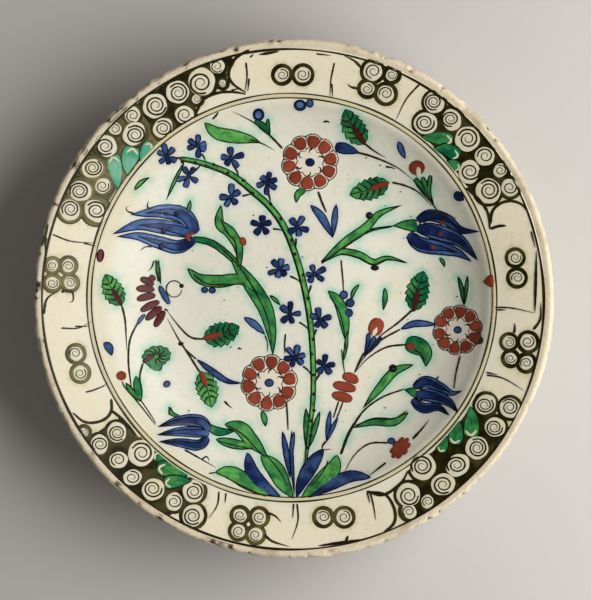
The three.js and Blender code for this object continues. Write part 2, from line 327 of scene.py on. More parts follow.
# %% Slip under clear glaze
def slip_finish(name, centre, rim, stained):
    """Ivory slip: centre colour to rim colour by radius, clouds, pinholes, crazing and bled-in stains."""
    f = Finish(name, {"Specular IOR Level": 0.08, "Coat Weight": 0.13, "Coat Roughness": 0.15})
    flat = f.places((1, 1, 0))
    radius = f.node("ShaderNodeVectorMath", {"operation": "LENGTH"}, {0: flat}, output="Value")
    clouds = f.noise(34, 3)
    grain = f.noise(3.5, 4)
    colour = f.mix((radius + 22 * clouds).step(118, 140), centre, rim)
    colour = f.mix(clouds.step(0.45, 0.75) * 0.35, colour, "e9dcc0")
    colour = f.mix(grain.step(0.52, 0.8) * 0.25, colour, "cfc5ab")
    if stained:
        spread = f.noise(11, 2).step(0.32, 0.62)
        colour = f.mix(f.number("green_bleed") * spread, colour, "86d6ba")
        colour = f.mix(f.number("blue_bleed"), colour, "a9b9d8")
        colour = f.mix(f.number("olive_bleed") * spread, colour, "b9ac6c")
        colour = f.mix(f.number("warm_stain"), colour, "cdb67c")
    pinholes = f.cells(9.0).step(0.05, 0.028) * f.noise(30).step(0.45, 0.6)
    specks = f.cells(5.0).step(0.06, 0.03) * f.noise(17).step(0.55, 0.62)
    colour = f.mix(pinholes * 0.75, colour, "6b5534")
    colour = f.mix(specks * 0.4, colour, "8a7a52")
    crack = f.cells(7.0, "DISTANCE_TO_EDGE").step(0.02, 0.0) * f.noise(26).step(0.5, 0.62)
    colour = f.mix(crack * 0.16, colour, "93845f")
    skin = f.noise(9, 2) + 0.25 * f.noise(2.2, 2) - 0.6 * pinholes
    return f.done(colour, 0.36 + 0.14 * grain, skin, 0.22)


FACE_GLAZE = slip_finish("slip under clear glaze", "efeddc", "f5ecd0", True)
BACK_GLAZE = slip_finish("slip on the back", "e8e2cf", "e6dcc2", False)


# %% Bare sandy body and worn lip
def bare_finish(name, pale, dark, roughness):
    """Unglazed fritware: sandy grain, brown soaked-in dirt, darker still where an edge has chipped."""
    f = Finish(name, {"Specular IOR Level": 0.3})
    grain = f.noise(1.2, 5, roughness=0.65)
    soiling = f.noise(14, 3)
    colour = f.mix(grain.step(0.35, 0.7), pale, "dbc8b2")
    colour = f.mix(soiling.step(0.5, 0.72) * 0.45, colour, dark)
    colour = f.mix(f.number("chipped"), colour, "5a3f26")
    return f.done(colour, roughness + 0.2 * grain, grain + 0.5 * f.noise(0.5, 3), 0.18)


BARE_LIP = bare_finish("worn lip", "eee2c2", "a08557", 0.36)
BARE_FOOT = bare_finish("bare fritware", "d8c5a3", "9b7d58", 0.7)
print("pottery finishes:", [m.name for m in bpy.data.materials])

# %% [markdown]
# Turning the pottery.
# A turned piece is a closed profile of radius and height carried round the axis. The lip of the real
# dish has lost small chips, most of them on the left, so its profile is also pushed in near each chip.
# Where each chip sits is drawn at random, from a spread of bearings centred on the left.

# %% Turned pieces
def turned(profile, sides, shift=None):
    """Carries a closed loop of (radius, height) points round the axis; shift(angle, r, z) may bend it."""
    radius, height = np.asarray(profile, float).T
    angle = np.linspace(0, TAU, sides, endpoint=False)[None, :]
    r = np.repeat(radius[:, None], sides, 1)
    z = np.repeat(height[:, None], sides, 1) + hand_wobble(angle, r)
    if shift is not None:
        r, z = shift(angle, r, z)
    points = np.stack([r * np.cos(angle), r * np.sin(angle), z], -1)
    return points.reshape(-1, 3), grid_quads(len(radius), sides)


def coat_profile(bottom, top, start, end, fine):
    """A coat between two depths: its seen side is sampled finely, its hidden side coarsely."""
    seen = np.linspace(start, end, fine)
    hidden = np.linspace(start, end, 16)
    low, high = (hidden, seen) if top == 0 else (seen, hidden)
    return np.concatenate([np.stack(under(low, bottom), 1), np.stack(under(high, top), 1)[::-1]])


BACK = (THICKNESS, THICKNESS - BACK_COAT)
RECESS_R = 72.3
face_points, face_quads = turned(coat_profile(FACE_COAT, 0.0, 0.0, RIM_R - 0.2, 170), 500)
back_points, back_quads = turned(coat_profile(*BACK, FOOT_R - 0.6, RIM_R - 1.5, 70), 300)
recess_points, recess_quads = turned(coat_profile(*BACK, 0.0, RECESS_R, 60), 240)
print("face coat quads:", len(face_quads), "back:", len(back_quads), "recess:", len(recess_quads))

# %% The chipped lip
LIP_SIDES = 900
LIP_START = RIM_R + 1.5
CLEAR = 0.15  # between the body and each of its coats
rng = np.random.default_rng(16)


def lip_profile():
    """Body hidden under its coats, then the rounded lip that stands a little proud of them."""
    seat = under(np.linspace(0.0, RIM_R - 1.6, 12), FACE_COAT + CLEAR)
    back = under(np.linspace(0.0, RIM_R - 1.5, 12), THICKNESS - BACK_COAT - CLEAR)
    crown = [(-0.6, -0.3), (0.1, 0.02), (0.7, 0.26), (1.3, 0.5), (1.9, 0.76), (2.6, 0.93), (3.4, 0.92)]
    turn = np.radians(np.arange(60, -91, -15))
    round_r = 2.1
    out = DISH_R - round_r + round_r * np.cos(turn)
    outer = np.stack([out, RIM_Z - 1.25 + round_r * np.sin(turn)], 1)
    shoulder = [(2.4, -4.2), (1.9, -5.0), (1.35, -5.75)]
    lip = [(RIM_R + x, RIM_Z + z) for x, z in crown]
    under_lip = [(RIM_R + x, RIM_Z + z) for x, z in shoulder]
    return np.concatenate([np.stack(seat, 1), lip, outer, under_lip, np.stack(back, 1)[::-1]])


def chip_list(count):
    """Bearing, height on the lip, length and depth of each; most are on the left, where wear is worst."""
    left = math.radians(200)
    bearing = rng.vonmises(left, 0.55, count)
    level = rng.normal(-0.9, 0.9, count)
    length = rng.lognormal(math.log(2.3), 0.55, count)
    depth = rng.uniform(0.35, 1.2, count)
    return np.stack([bearing, level, length, depth], 1)


CHIPS = chip_list(260)


def chip_pits(angle, r, z):
    """Depth of the deepest chip at each point; a chip is half an ellipsoid, long round the lip."""
    pit = np.zeros_like(r)
    ragged = 1 + 0.35 * np.cos(61 * angle + 1.0) * np.cos(23 * angle)
    for bearing, level, length, depth in CHIPS:
        along = np.abs((angle - bearing + math.pi) % TAU - math.pi) * DISH_R / length
        across = np.abs(z - RIM_Z - level) / 1.3
        near = np.clip(1 - along**2 - across**2, 0, 1) * (r > LIP_START)
        pit = np.maximum(pit, depth * np.sqrt(near) * ragged)
    return pit


def chip_lip(angle, r, z):
    """Pushes the lip in by its chips, and lets its whole edge run a little out of true."""
    pit = chip_pits(angle, r, z)
    uneven = 0.22 * np.cos(5 * angle + 0.4) + 0.14 * np.cos(11 * angle + 2.0) + 0.08 * np.cos(23 * angle)
    uneven += (
        0.16 * np.cos(67 * angle + 0.3) * np.cos(29 * angle)
        + 0.1 * np.cos(131 * angle) * np.cos(37 * angle + 1)
    )
    edge = smoothstep(r, LIP_START, DISH_R)
    return r - pit + uneven * edge, z - 0.45 * pit * (z > RIM_Z - 1.5)


body_points, body_quads = turned(lip_profile(), LIP_SIDES, chip_lip)
plain_points, _ = turned(lip_profile(), LIP_SIDES)
pushed_in = np.hypot(*plain_points[:, :2].T) - np.hypot(*body_points[:, :2].T)
chipped = smoothstep(pushed_in, 0.75, 1.15)
print("chips:", len(CHIPS), "deepest pushes the lip in by", pushed_in.max().round(2), "mm")


# %% The foot ring
def foot_profile():
    """A low ring with rounded edges that meets the underside of the dish."""
    radius = 1.3
    outer = FOOT_R - 0.2
    inner = FOOT_R - 8.2
    corner = np.radians(np.arange(0, 91, 15))
    heel = np.stack([outer - radius + radius * np.sin(corner), radius - radius * np.cos(corner)], 1)
    toe = np.stack([inner + radius - radius * np.sin(corner), radius - radius * np.cos(corner)], 1)
    rise = np.linspace(0.15, 1, 8)[:, None]
    outside = heel[-1] + rise * (np.array([FOOT_R + 0.1, 12.4]) - heel[-1])
    inside = toe[-1] + rise * (np.array([inner - 0.6, 9.6]) - toe[-1])
    return np.concatenate([heel, outside, inside[::-1], toe[::-1]])


foot_points, foot_quads = turned(foot_profile(), 300)

clay = add_mesh("clay_body", body_points, body_quads, BARE_LIP, {"chipped": chipped}, weld=True)
settle(clay, "fritware", "fritware_body")
settle(add_mesh("foot_ring_turned", foot_points, foot_quads, BARE_FOOT), "fritware", "foot_ring")
settle(add_mesh("back_glaze", back_points, back_quads, BACK_GLAZE), "slip_glaze", "back_coat")
recess = add_mesh("recess_glaze", recess_points, recess_quads, BACK_GLAZE, weld=True)
settle(recess, "slip_glaze", "foot_recess_coat")


# %% [markdown]
# How the drawing lies on the dish.
# The drawing was set out flat, as seen from well above the dish, in millimetres from its centre (x to
# the right, y to the top). A place in that flat drawing is pushed out along the line of sight until it
# meets the face, so the drawing spreads a little in the deep well and stays as it is on the rim.

# %% Laying a flat drawing on the face
EYE = 1500.0


def lay(plan, lift):
    """Flat (x, y) times (eye - face) / (eye - rim), at the height of the face there plus lift."""
    spread = np.ones(plan.shape[:-1])
    for _ in range(2):
        r = np.hypot(plan[..., 0], plan[..., 1]) * spread
        spread = (EYE - face_height(r)) / (EYE - RIM_Z)
    x = plan[..., 0] * spread
    y = plan[..., 1] * spread
    return np.stack([x, y, face_z(x, y) + lift], -1)


# %% [markdown]
# One brush stroke.
# A loaded brush leaves a lens of colour: thickest in the middle, closed down to nothing at its edge. So
# a stroke is a lens-shaped section carried along a smooth path, with a width that swells and thins as
# the hand presses. Each stroke also stores how far every point is from its edge, because colour pools
# there and the painter's dark outline runs along it.

# %% Paths and widths
def smooth_path(points, count):
    """Catmull-Rom curve through given points, then evenly spaced along its length."""
    p = np.asarray(points, float)
    p = np.concatenate([[2 * p[0] - p[1]], p, [2 * p[-1] - p[-2]]])
    t = np.linspace(0, len(p) - 3, 24 * (len(p) - 3) + 1)[:, None]
    i = np.minimum(t[:, 0].astype(int), len(p) - 4)
    u = t - i[:, None]
    a, b, c, d = p[i], p[i + 1], p[i + 2], p[i + 3]
    dense = b + 0.5 * u * (c - a + u * (2 * a - 5 * b + 4 * c - d + u * (3 * (b - c) + d - a)))
    run = np.concatenate([[0], np.cumsum(np.hypot(*np.diff(dense, axis=0).T))])
    share = 0.5 * (np.linspace(0, 1, count) + 0.5 - 0.5 * np.cos(np.linspace(0, math.pi, count)))
    at = share * run[-1]
    return np.stack([np.interp(at, run, dense[:, 0]), np.interp(at, run, dense[:, 1])], 1), share, run[-1]


def press(share, lead, trail):
    """Width along a stroke: share^lead * (1-share)^trail, scaled so that its fullest place is 1."""
    full = lead / (lead + trail)
    peak = full**lead * (1 - full) ** trail
    return share**lead * (1 - share) ** trail / peak


LENS = np.array([-1, -0.93, -0.72, -0.36, 0, 0.36, 0.72, 0.93, 1])
BELLY = np.array([0.6, 0, -0.6])
ACROSS = np.concatenate([LENS, BELLY])
SKIRT = 0.16


def lens_lift(v, top):
    """Height of a lens across: its top, less the skirt times v to the eighth."""
    return top - SKIRT * np.abs(v) ** 8


# %% Strokes, dabs and rings
def patch(plan, lift, edge, uv, tone, closed=False):
    """The arrays of one stroke: its points on the face, its quads and its numbers."""
    points = lay(plan, lift).reshape(-1, 3)
    quads = grid_quads(*edge.shape, wrap_rows=closed)
    if signed_volume(points - points.mean(0), quads) < 0:
        quads = quads[:, ::-1]
    numbers = {"edge": edge.ravel(), "uv": uv.reshape(-1, 2), "tone": np.full(edge.size, tone)}
    return {"points": points, "quads": quads, **numbers}


def ribbon(plan, half, along, across, tone, top, closed=False):
    """A lens section of half width along each row of plan; its belly and its open ends lie lower."""
    lift = np.broadcast_to(lens_lift(ACROSS, top), across.shape).copy()
    lift[:, len(LENS) :] = top - 2 * SKIRT
    if not closed:
        lift[[0, -1]] = top - SKIRT
    edge = (1 - np.abs(ACROSS)) * half[:, None]
    uv = np.stack([np.broadcast_to(along[:, None], across.shape), across], -1)
    return patch(plan, lift, edge, uv, tone, closed)


def keep_in(plan, band):
    """Draws the points of a stroke in or out along their radius until they lie between two radii."""
    if band is None:
        return plan
    away = np.hypot(plan[..., 0], plan[..., 1])
    return plan * (np.clip(away, *band) / away)[..., None]


def stroke(points, width, lead=0.5, trail=0.5, tone=0.0, teeth=0, tooth=0.0, top=0.0, band=None):
    """A ribbon along a path: lens section times press(share); teeth notch its two edges like a saw."""
    _, _, length = smooth_path(points, 2)
    count = int(np.clip(length / 1.1, 10, 120)) + 8 * teeth
    path, share, length = smooth_path(points, count)
    run = share * length
    shake = 0.09 * np.sin(1.1 * run + 3 * path[0, 0]) + 0.05 * np.sin(2.7 * run)
    half = 0.5 * width * press(share, lead, trail) * (1 + shake / max(1, 0.8 * width))
    half = half * (1 - tooth * np.abs((share * teeth) % 1 - 0.15)) if teeth else half
    ahead = np.gradient(path, axis=0)
    ahead /= np.maximum(np.hypot(*ahead.T), 1e-9)[:, None]
    side = np.stack([-ahead[:, 1], ahead[:, 0]], 1)
    across = ACROSS[None, :] * half[:, None]
    plan = keep_in(path[:, None] + across[..., None] * side[:, None], band)
    return ribbon(plan, half, run, across, tone, top)


DAB_OUT = np.array([0, 0.3, 0.6, 0.82, 0.94, 1.0, 0.5, 0])
DAB_BELLY = 6  # the rings from here on are the dab's underside


def dab(x, y, rx, ry=None, turn=0.0, lobes=0, depth=0.0, tone=0.0, top=0.0, sides=28, band=None):
    """A disc of colour, rx by ry, turned, times 1 - depth + depth * |cos(lobes * angle / 2)|^0.7."""
    ry = ry or rx
    angle = np.linspace(0, TAU, max(sides, 7 * lobes), endpoint=False)
    swell = np.ones_like(angle)
    if lobes:
        swell = 1 - depth + depth * np.abs(np.cos(0.5 * lobes * angle)) ** 0.7
    spin = math.radians(turn)
    ox, oy = rx * swell * np.cos(angle), ry * swell * np.sin(angle)
    cos, sin = math.cos(spin), math.sin(spin)
    outline = np.stack([ox * cos - oy * sin, ox * sin + oy * cos], 1)
    uv = DAB_OUT[:, None, None] * outline[None]
    plan = keep_in(np.array([x, y]) + uv, band)
    lift = np.broadcast_to(lens_lift(DAB_OUT, top)[:, None], plan.shape[:2]).copy()
    lift[DAB_BELLY:] = top - 2 * SKIRT
    edge = (1 - DAB_OUT)[:, None] * np.hypot(*outline.T)[None, :]
    edge[DAB_BELLY:] = 0
    return patch(plan, lift, edge, uv, tone)


def round_axis(reach, angle):
    """The plan points at each row's bearing and each place's reach from the axis."""
    return np.stack([reach * np.cos(angle)[:, None], reach * np.sin(angle)[:, None]], -1)


SLOW_WAVE = ((0.35, 2, 0.9), (0.14, 5, 2.2), (0.06, 11, 0.3))


def ring(radius, width, centre, tone, top=0.0):
    """A line drawn round the dish: radius + waves (size, count, phase); its width breathes a little."""
    angle = np.linspace(0, TAU, 720, endpoint=False)
    r = radius + sum(size * np.cos(count * angle + phase) for size, count, phase in SLOW_WAVE)
    half = 0.5 * width * (1 + 0.22 * np.cos(7 * angle + radius) + 0.16 * np.cos(19 * angle + 2 * radius))
    reach = r[:, None] + ACROSS[None, :] * half[:, None]
    plan = round_axis(reach, angle) + centre
    return ribbon(plan, half, radius * angle, reach - r[:, None], tone, top, closed=True)


def sector(start, end, inner, outer, tone):
    """A patch of ground between two bearings and two radii, with soft round corners."""
    angle = np.radians(np.linspace(start, end, int(abs(end - start) * 2)))
    middle, half = (inner + outer) / 2, (outer - inner) / 2
    ease = press(np.linspace(0, 1, len(angle)), 0.02, 0.02)
    reach = middle + ACROSS[None, :] * half * ease[:, None]
    return ribbon(round_axis(reach, angle), half * ease, middle * angle, reach - middle, tone, 0.0)


# %% [markdown]
# Named kinds of stroke.
# Each kind is a way to press the brush. It takes its full width, its tone and then the points of its
# path.

# %% Named kinds of stroke
def line(width, tone, *points, **more):
    return stroke(points, 1.15 * width, 0.14, 0.3, tone=tone, **more)


def taper(width, tone, *points, **more):
    """Pressed hard at the start and drawn off to a hair."""
    return stroke(points, 1.2 * width, 0.12, 0.8, tone=tone, **more)


def leaf(width, tone, *points, **more):
    return stroke(points, 1.12 * width, 0.7, 0.9, tone=tone, **more)


def petal(width, tone, *points, **more):
    """Round where it starts, pointed where it ends."""
    return stroke(points, width, 0.38, 0.85, tone=tone, **more)


def bean(width, tone, *points, **more):
    return stroke(points, width, 0.42, 0.42, tone=tone, **more)


def calyx(width, tone, *points, **more):
    """Thin at the stalk and wide where it holds the petals."""
    return stroke(points, width, 0.85, 0.26, tone=tone, **more)


def spiral(x, y, radius, turns, start, width, tone, squash):
    """A line that winds in: radius * (1 - 0.8 * share), turning as it goes."""
    share = np.linspace(0, 1, int(turns * 9))
    angle = math.radians(start) - share * turns * TAU
    reach = radius * (1 - 0.8 * share)
    points = np.stack([x + reach * np.cos(angle), y + squash * reach * np.sin(angle)], 1)
    return stroke(points, width, 0.12, 0.5, tone=tone)


# %% [markdown]
# Colours of the underglaze.
# Few colours do all the work: a black drawn thin enough to turn olive, cobalt from washed blue to near
# black, copper green from emerald to grass, a red and a plum of iron earth, and bare slip left white.
# The two reds are a little rougher than the rest, which share the glaze's gloss. Tone is stored with
# each stroke. The last number of a colour is how far its strokes stand above the face: a colour laid
# over another has to stand higher.

# %% One recipe for every colour
def paint_finish(name, deep, bright, shade, outline, outline_mm, bump_mm=0.05, gloss=0.34, soft=0.5):
    """Deep to bright by tone, clouded, streaked along the brush, pooled dark at the edge, outlined."""
    f = Finish(name, {"Specular IOR Level": 0.08, "Coat Weight": 0.13, "Coat Roughness": 0.15})
    edge = f.number("edge")
    grain = {0: f.brush(), 1: (0.16, 1.3, 1)}
    streak_place = f.node("ShaderNodeVectorMath", {"operation": "MULTIPLY"}, grain)
    streak = f.noise(1.0, 3, streak_place)
    cloud = f.noise(5.0, 3)
    drift = f.noise(13.0, 1).step(0.36, 0.64) * 0.7 - 0.35
    colour = f.mix(f.number("tone") + soft * drift, deep, bright)
    colour = f.mix(cloud.step(0.4, 0.72) * soft, colour, shade)
    colour = f.mix(streak.step(0.45, 0.75) * soft, colour, shade)
    colour = f.mix(edge.step(1.6, 0.3) * 0.6, colour, shade)
    wander = f.noise(1.7, 2) * 0.5 - 0.25
    drawn = (edge + wander).step(outline_mm + 0.14, outline_mm - 0.1)
    colour = f.mix(drawn, colour, outline)
    return f.done(colour, gloss + 0.12 * streak, cloud + 0.5 * streak, bump_mm)


PAINTS = {}
for key, name, codes, outline_mm, slot, top, more in (
    ("ink", "olive black line", "0f0c04 5a4c20 282209 2a240e", 0.05, "olive_black", 0.40, {}),
    ("ground", "olive black ground", "171502 8d8552 37330e 211e08", 0.3, "olive_black", 0.10, {}),
    ("green", "copper green", "067449 6fc35e 053f27 050f08", 0.74, "copper_green", 0.13, {"soft": 0.65}),
    ("mint", "thin copper green", "2f9d74 b4dec6 3fa57e 24361f", 0.5, "copper_green", 0.15, {}),
    ("cobalt", "cobalt blue", "101a42 6389c4 1b3268 050918", 0.7, "cobalt_blue", 0.15, {"soft": 0.65}),
    ("white", "reserved slip", "ebe5cd e0d298 dcd4b4 3a3118", 0.0, "slip_glaze", 0.20, {"soft": 0.3}),
    ("petals", "outlined slip", "efe6d6 eddfc8 e4d8c2 1c1508", 0.62, "slip_glaze", 0.20, {"soft": 0.2}),
    ("red", "raised bole red", "8b3c29 a54f38 722e1f 5f2416", 0.14, "bole_red", 0.50,
     {"bump_mm": 0.12, "gloss": 0.4}),
    ("plum", "plum red", "571619 7c2b2d 3f0f12 22080b", 0.35, "plum_red", 0.34,
     {"bump_mm": 0.1, "gloss": 0.38}),
):
    PAINTS[key] = (paint_finish(name, *codes.split(), outline_mm, **more), slot, top)
print("paints:", ", ".join(PAINTS))

# %% Putting a motif on the dish
LATER_STROKE = 0.006  # how much higher each stroke of an object stands than the one before it
bled = {"green": [], "cobalt": [], "ground": []}


def paint(node, **layers):
    """One object for each colour of a motif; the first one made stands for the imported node."""
    for colour, strokes in layers.items():
        finish, slot, top = PAINTS[colour]
        points, quads, first = [], [], 0
        for step, s in enumerate(strokes):
            points.append(s["points"] + np.array([0, 0, top + LATER_STROKE * step]))
            quads.append(s["quads"] + first)
            first += len(s["points"])
        edge, tone, uv = (np.concatenate([s[key] for s in strokes]) for key in ("edge", "tone", "uv"))
        made = add_mesh(f"{node}_{colour}", np.concatenate(points), np.concatenate(quads), finish,
                        {"edge": edge, "tone": tone}, uv=uv, weld=True)
        stands_for = colour == next(iter(layers)) and node in frame["nodes"]
        settle(made, slot, *([node] if stands_for else []))
        kin = {"mint": "green"}.get(colour, colour)
        if kin in bled:
            bled[kin] += [np.concatenate([s["points"][:, :2], s["edge"][:, None]], 1) for s in strokes]


# %% [markdown]
# The lines round the dish.
# Two thin black lines ring the well with a creamy wash between them, and one more runs under the lip.
# They are drawn as if the dish turned on a wheel that ran a little out of true, so they aren't quite
# centred.

# %% Ring lines
RING_CENTRE = (-1.0, 0.7)
RIM_CENTRE = (-0.4, -0.3)
paint("ring_line_inner", ink=[ring(115.3, 0.68, RING_CENTRE, 0.4)])
paint("ring_line_outer", ink=[ring(117.9, 0.8, RING_CENTRE, 0.3)])
paint("ring_wash", white=[ring(116.6, 2.0, RING_CENTRE, 0.85, top=-0.1)])
paint("rim_line", ink=[ring(144.4, 1.2, RIM_CENTRE, 0.1)])

# %% [markdown]
# Rocks and waves on the rim.
# Four rocks of packed spirals stand between wave scrolls. The ground was brushed in black round discs
# of bare slip, and a spiral was then wound in each disc. At the foot of each rock are three copper
# green scallops.

# %% Spirals in discs
RIM_BAND = (118.8, 144.9)
SCALLOP_BAND = (118.6, 144.4)


def collar(x, y, radius, tone):
    """A round of black ground, kept between the ring and the line under the lip."""
    return dab(x, y, radius, tone=tone, band=RIM_BAND)


def scallop(*points, width, tone, top):
    """A lobe that opens from a point at the ring to a round end, and the bare slip round that end."""
    root, tip = np.array(points[0], float), np.array(points[-1], float)
    ahead = tip - root
    side = 0.33 * width * np.array([-ahead[1], ahead[0]]) / np.hypot(*ahead)
    lobe = stroke(points, width, 0.75, 0.27, tone=tone, top=top, band=SCALLOP_BAND)
    bow = root + 0.76 * ahead - side, root + 0.93 * ahead, root + 0.76 * ahead + side
    edge = bean(0.15 * width, 0.2, *bow, top=top + 0.04)
    return lobe, edge


def scrolls(discs, tone=0.1, turns=2.3):
    """A slip disc and its spiral for each (x, y, radius), every one a little out of round."""
    white, ink = [], []
    for x, y, radius in discs:
        squash = rng.uniform(0.84, 1.0)
        turn = rng.uniform(0, 180)
        white.append(dab(x, y, 1.1 * radius, 1.1 * radius * squash, turn=turn, lobes=5, depth=0.05,
                         tone=rng.uniform(0, 0.2)))
        wind = turns + rng.uniform(-0.3, 0.3) if radius > 5.5 else 1.7
        start = rng.uniform(0, 360)
        off = rng.uniform(-0.1, 0.1, 2) * radius
        ink.append(spiral(x + off[0], y + off[1], radius * 0.86, wind, start, width=0.16 * radius,
                          tone=tone + rng.uniform(-0.1, 0.15), squash=squash))
    return white, ink


def rock(node, discs, sectors, lobes, crests, pale=0.0, painted_sheen_fade=0.0, scallops="green"):
    """Ground patches and a collar round every disc, then the discs, the scallops and the wave lines."""
    ground = [sector(start, end, inner, outer, tone=tone) for start, end, inner, outer, tone in sectors]
    # Painted sheen: the fade makes the black collars paler along the list of discs, standing for the
    # glaze's reflection on that part of the rim.
    painted_sheen_along = painted_sheen_fade * smoothstep(np.linspace(0, 1, len(discs)), 0.3, 0.9)
    tones = pale + painted_sheen_along + rng.uniform(-0.15, 0.08, len(discs))
    ground += [collar(x, y, radius + 2.2, tone) for (x, y, radius), tone in zip(discs, tones)]
    white, ink = scrolls(discs, tone=0.1 + 0.3 * pale)
    paint(node, ground=ground, white=white, ink=ink + [line(1.5, 0.25, *c) for c in crests])
    fans = [scallop(*points, width=width, tone=tone, top=0.17 * k)
            for k, (*points, width, tone) in enumerate(lobes)]
    lobes, edges = zip(*fans)
    paint(f"{node}_scallops", **{scallops: lobes, "white": edges})


rock(
    "rock_upper_left",
    [
        (-41, 124, 2.2), (-56, 115, 2.8), (-44, 134, 4.3), (-53, 125, 7.9), (-67, 119, 6.6),
        (-80, 111, 7.1), (-63, 106, 5.5), (-93, 106, 4.8), (-75.5, 98.5, 6.1), (-103, 98, 3.9),
        (-92, 95, 7.0), (-108, 88, 6.5), (-116, 75, 6.1), (-110, 65, 4.6), (-123, 62, 6.5),
        (-129, 51, 6.0), (-114, 50.5, 7.1),
    ],
    # The second patch of ground, at bearings 129 to 153, has the pale tone 0.65: painted sheen of the
    # glaze on the upper left of the rim.
    [
        (118, 131, 119.2, 145.0, 0.0), (129, 153, 119.2, 145.0, 0.65), (110, 119, 127.5, 145.0, 0.0),
        (106.3, 112, 131, 145.0, 0.0), (104, 108, 138.5, 145.0, 0.0),
    ],
    [
        ((-101, 63), (-102.6, 73), (-104.4, 83), 9.6, 0.3),
        ((-95.6, 70.5), (-95, 79), (-92.6, 87.5), 10.6, 0.25),
        ((-88.5, 79), (-86, 84), (-82.4, 90), 7.4, 0.2),
    ],
    [
        [(-25.4, 143.3), (-33.4, 138.4), (-37.4, 130), (-35, 123.8), (-27.4, 118.6)],
        [(-56, 107.4), (-51.6, 115), (-43.2, 118.6), (-34.8, 119), (-27.2, 117.8)],
    ],
    # The fade here paints the glaze's sheen: the ground grows paler towards the left end of this rock.
    pale=0.05, painted_sheen_fade=0.75, scallops="mint",
)
rock(
    "rock_upper_right",
    [
        (81, 113, 5.9), (76, 101, 6.6), (91, 103, 6.1), (100, 92, 7.0), (110, 82, 5.5), (119, 74, 4.2),
        (101, 73, 6.6), (112, 62, 7.0), (124.5, 64, 5.0),
    ],
    [(28.5, 52, 118.2, 145.0, 0.0)],
    [
        ((73, 93), (83, 92.5), (92, 90.8), 9.4, 0.3), ((80, 86.5), (88, 86), (95.5, 82), 9.0, 0.2),
        ((87.5, 79), (91.5, 78), (95.5, 74.6), 7.0, 0.4),
    ],
    [
        [(99.4, 64), (106.8, 57), (111.8, 49.6), (113.2, 39.6)],
        [(113.4, 43), (114.6, 50.4), (119.4, 55), (126, 56.2), (132, 53.8), (135.4, 49)],
        [(113.4, 40.2), (118.4, 41.8), (122.6, 42)],
    ],
)
rock(
    "rock_lower_left",
    [
        (-102, -77, 5.8), (-112, -84, 5.6), (-101, -93, 5.2), (-88, -89, 7.4), (-93, -103, 5.2),
        (-81, -110, 6.4), (-69, -117, 5.2), (-58, -111, 6.3), (-58, -125, 6.2), (-121, -77, 2.6),
    ],
    [(214, 241, 119, 145.2, 0.06)],
    [
        ((-72, -95.5), (-75.5, -92), (-80.5, -89.4), 8.0, 0.3),
        ((-61, -102.4), (-69, -99), (-79, -97.2), 10.0, 0.3),
        ((-58.6, -105), (-66, -105), (-75, -106.4), 8.6, 0.2),
    ],
    [
        [
            (-105.1, -57.6), (-105, -64.6), (-108.4, -69.2), (-114.4, -71.4), (-121, -70.8),
            (-127.4, -65.6),
        ],
        [(-105, -64.4), (-100, -68.4), (-94.6, -74), (-90.6, -79)],
    ],
    pale=0.12,
)
rock(
    "rock_lower_right",
    [
        (110.5, -61, 6.0), (124.5, -63, 5.8), (116, -74, 5.8), (105.5, -86, 6.4), (94.5, -96, 7.0),
        (74.5, -97, 7.4), (86, -107, 6.8), (66, -113, 6.6), (66.5, -122.5, 4.4), (77, -117, 3.9),
    ],
    [(-56.5, -31, 118.2, 145.0, 0.03), (-60, -55, 124, 145.0, 0.03)],
    [
        ((101.8, -62), (102.6, -70), (102, -80), 10.6, 0.4),
        ((95.4, -70.5), (94.4, -76), (92, -84), 9.4, 0.4),
        ((88.4, -79), (86.8, -83), (84, -88.4), 7.4, 0.3),
    ],
    [
        [(52, -135), (58, -129), (58, -121), (53, -113), (44, -111)],
        [(42, -111), (52, -113), (62, -106), (66, -99)],
    ],
    pale=0.06,
)

# %% Pairs and fours of spirals, waves and short strokes
def scroll_group(node, discs, pale=0.0, extra=()):
    # pale makes the black collars and the spirals in them paler.
    collars = [collar(x, y, radius + 2.3, pale) for x, y, radius in discs]
    smaller = [(x, y, 0.92 * radius) for x, y, radius in discs]
    white, ink = scrolls(smaller, tone=0.1 + 0.3 * pale, turns=1.7)
    paint(node, ground=collars, white=white, ink=ink + [taper(1.3, 0.5, *c) for c in extra])


scroll_group("scroll_pair_top", [(-6.8, 129, 4.6), (5.2, 129, 4.9)])
scroll_group("scroll_pair_right", [(127.6, 23.5, 4.3), (128.6, 12, 4.5)], pale=0.05)
scroll_group("scroll_pair_bottom", [(17, -126, 4.7), (29, -126, 4.8)], pale=0.25)
# On the left of the rim the high pale values, 0.6 here and 0.7 below, are painted sheen of the glaze: grey
# ground where the glaze would reflect.
scroll_group("scroll_pair_left", [(-125.6, -31.8, 4.4), (-123, -42.8, 4.5)], pale=0.6)
scroll_group(
    "scroll_quad_top",
    [(45.5, 131, 5.8), (56.5, 129, 3.9), (42.5, 121, 4.2), (53, 118, 5.2)],
    extra=[[(37, 121), (33, 122), (31, 124)], [(39, 133), (35, 137), (29, 140)]],
)
scroll_group(
    "scroll_quad_right",
    [(124, -25, 3.9), (135, -25, 5.0), (125, -34.5, 3.8), (134, -37, 4.4)],
    pale=0.12,
    extra=[[(138, -18), (142, -12), (142.5, -2)], [(127, -20), (127.5, -16), (127, -14)]],
)
scroll_group(
    "scroll_quad_bottom",
    [(-31, -125, 4.3), (-20, -126, 4.6), (-32, -134, 4.2), (-22, -136, 4.3)],
    pale=0.35,
    extra=[[(-17, -123), (-11, -125), (-7, -129)], [(-17, -136), (-12, -140), (-2, -143)]],
)
scroll_group(
    "scroll_quad_left",
    [(-139, 19, 3.6), (-130, 19, 4.1), (-139, 9, 4.1), (-129, 9, 3.9)],
    # Painted sheen: this pale value greys the ground as the glaze's reflection would.
    pale=0.7,
    extra=[[(-134, 4), (-128, 4.5), (-127, -1), (-130, -2.5)], [(-144, -9), (-142, 0), (-135, 4.5)]],
)

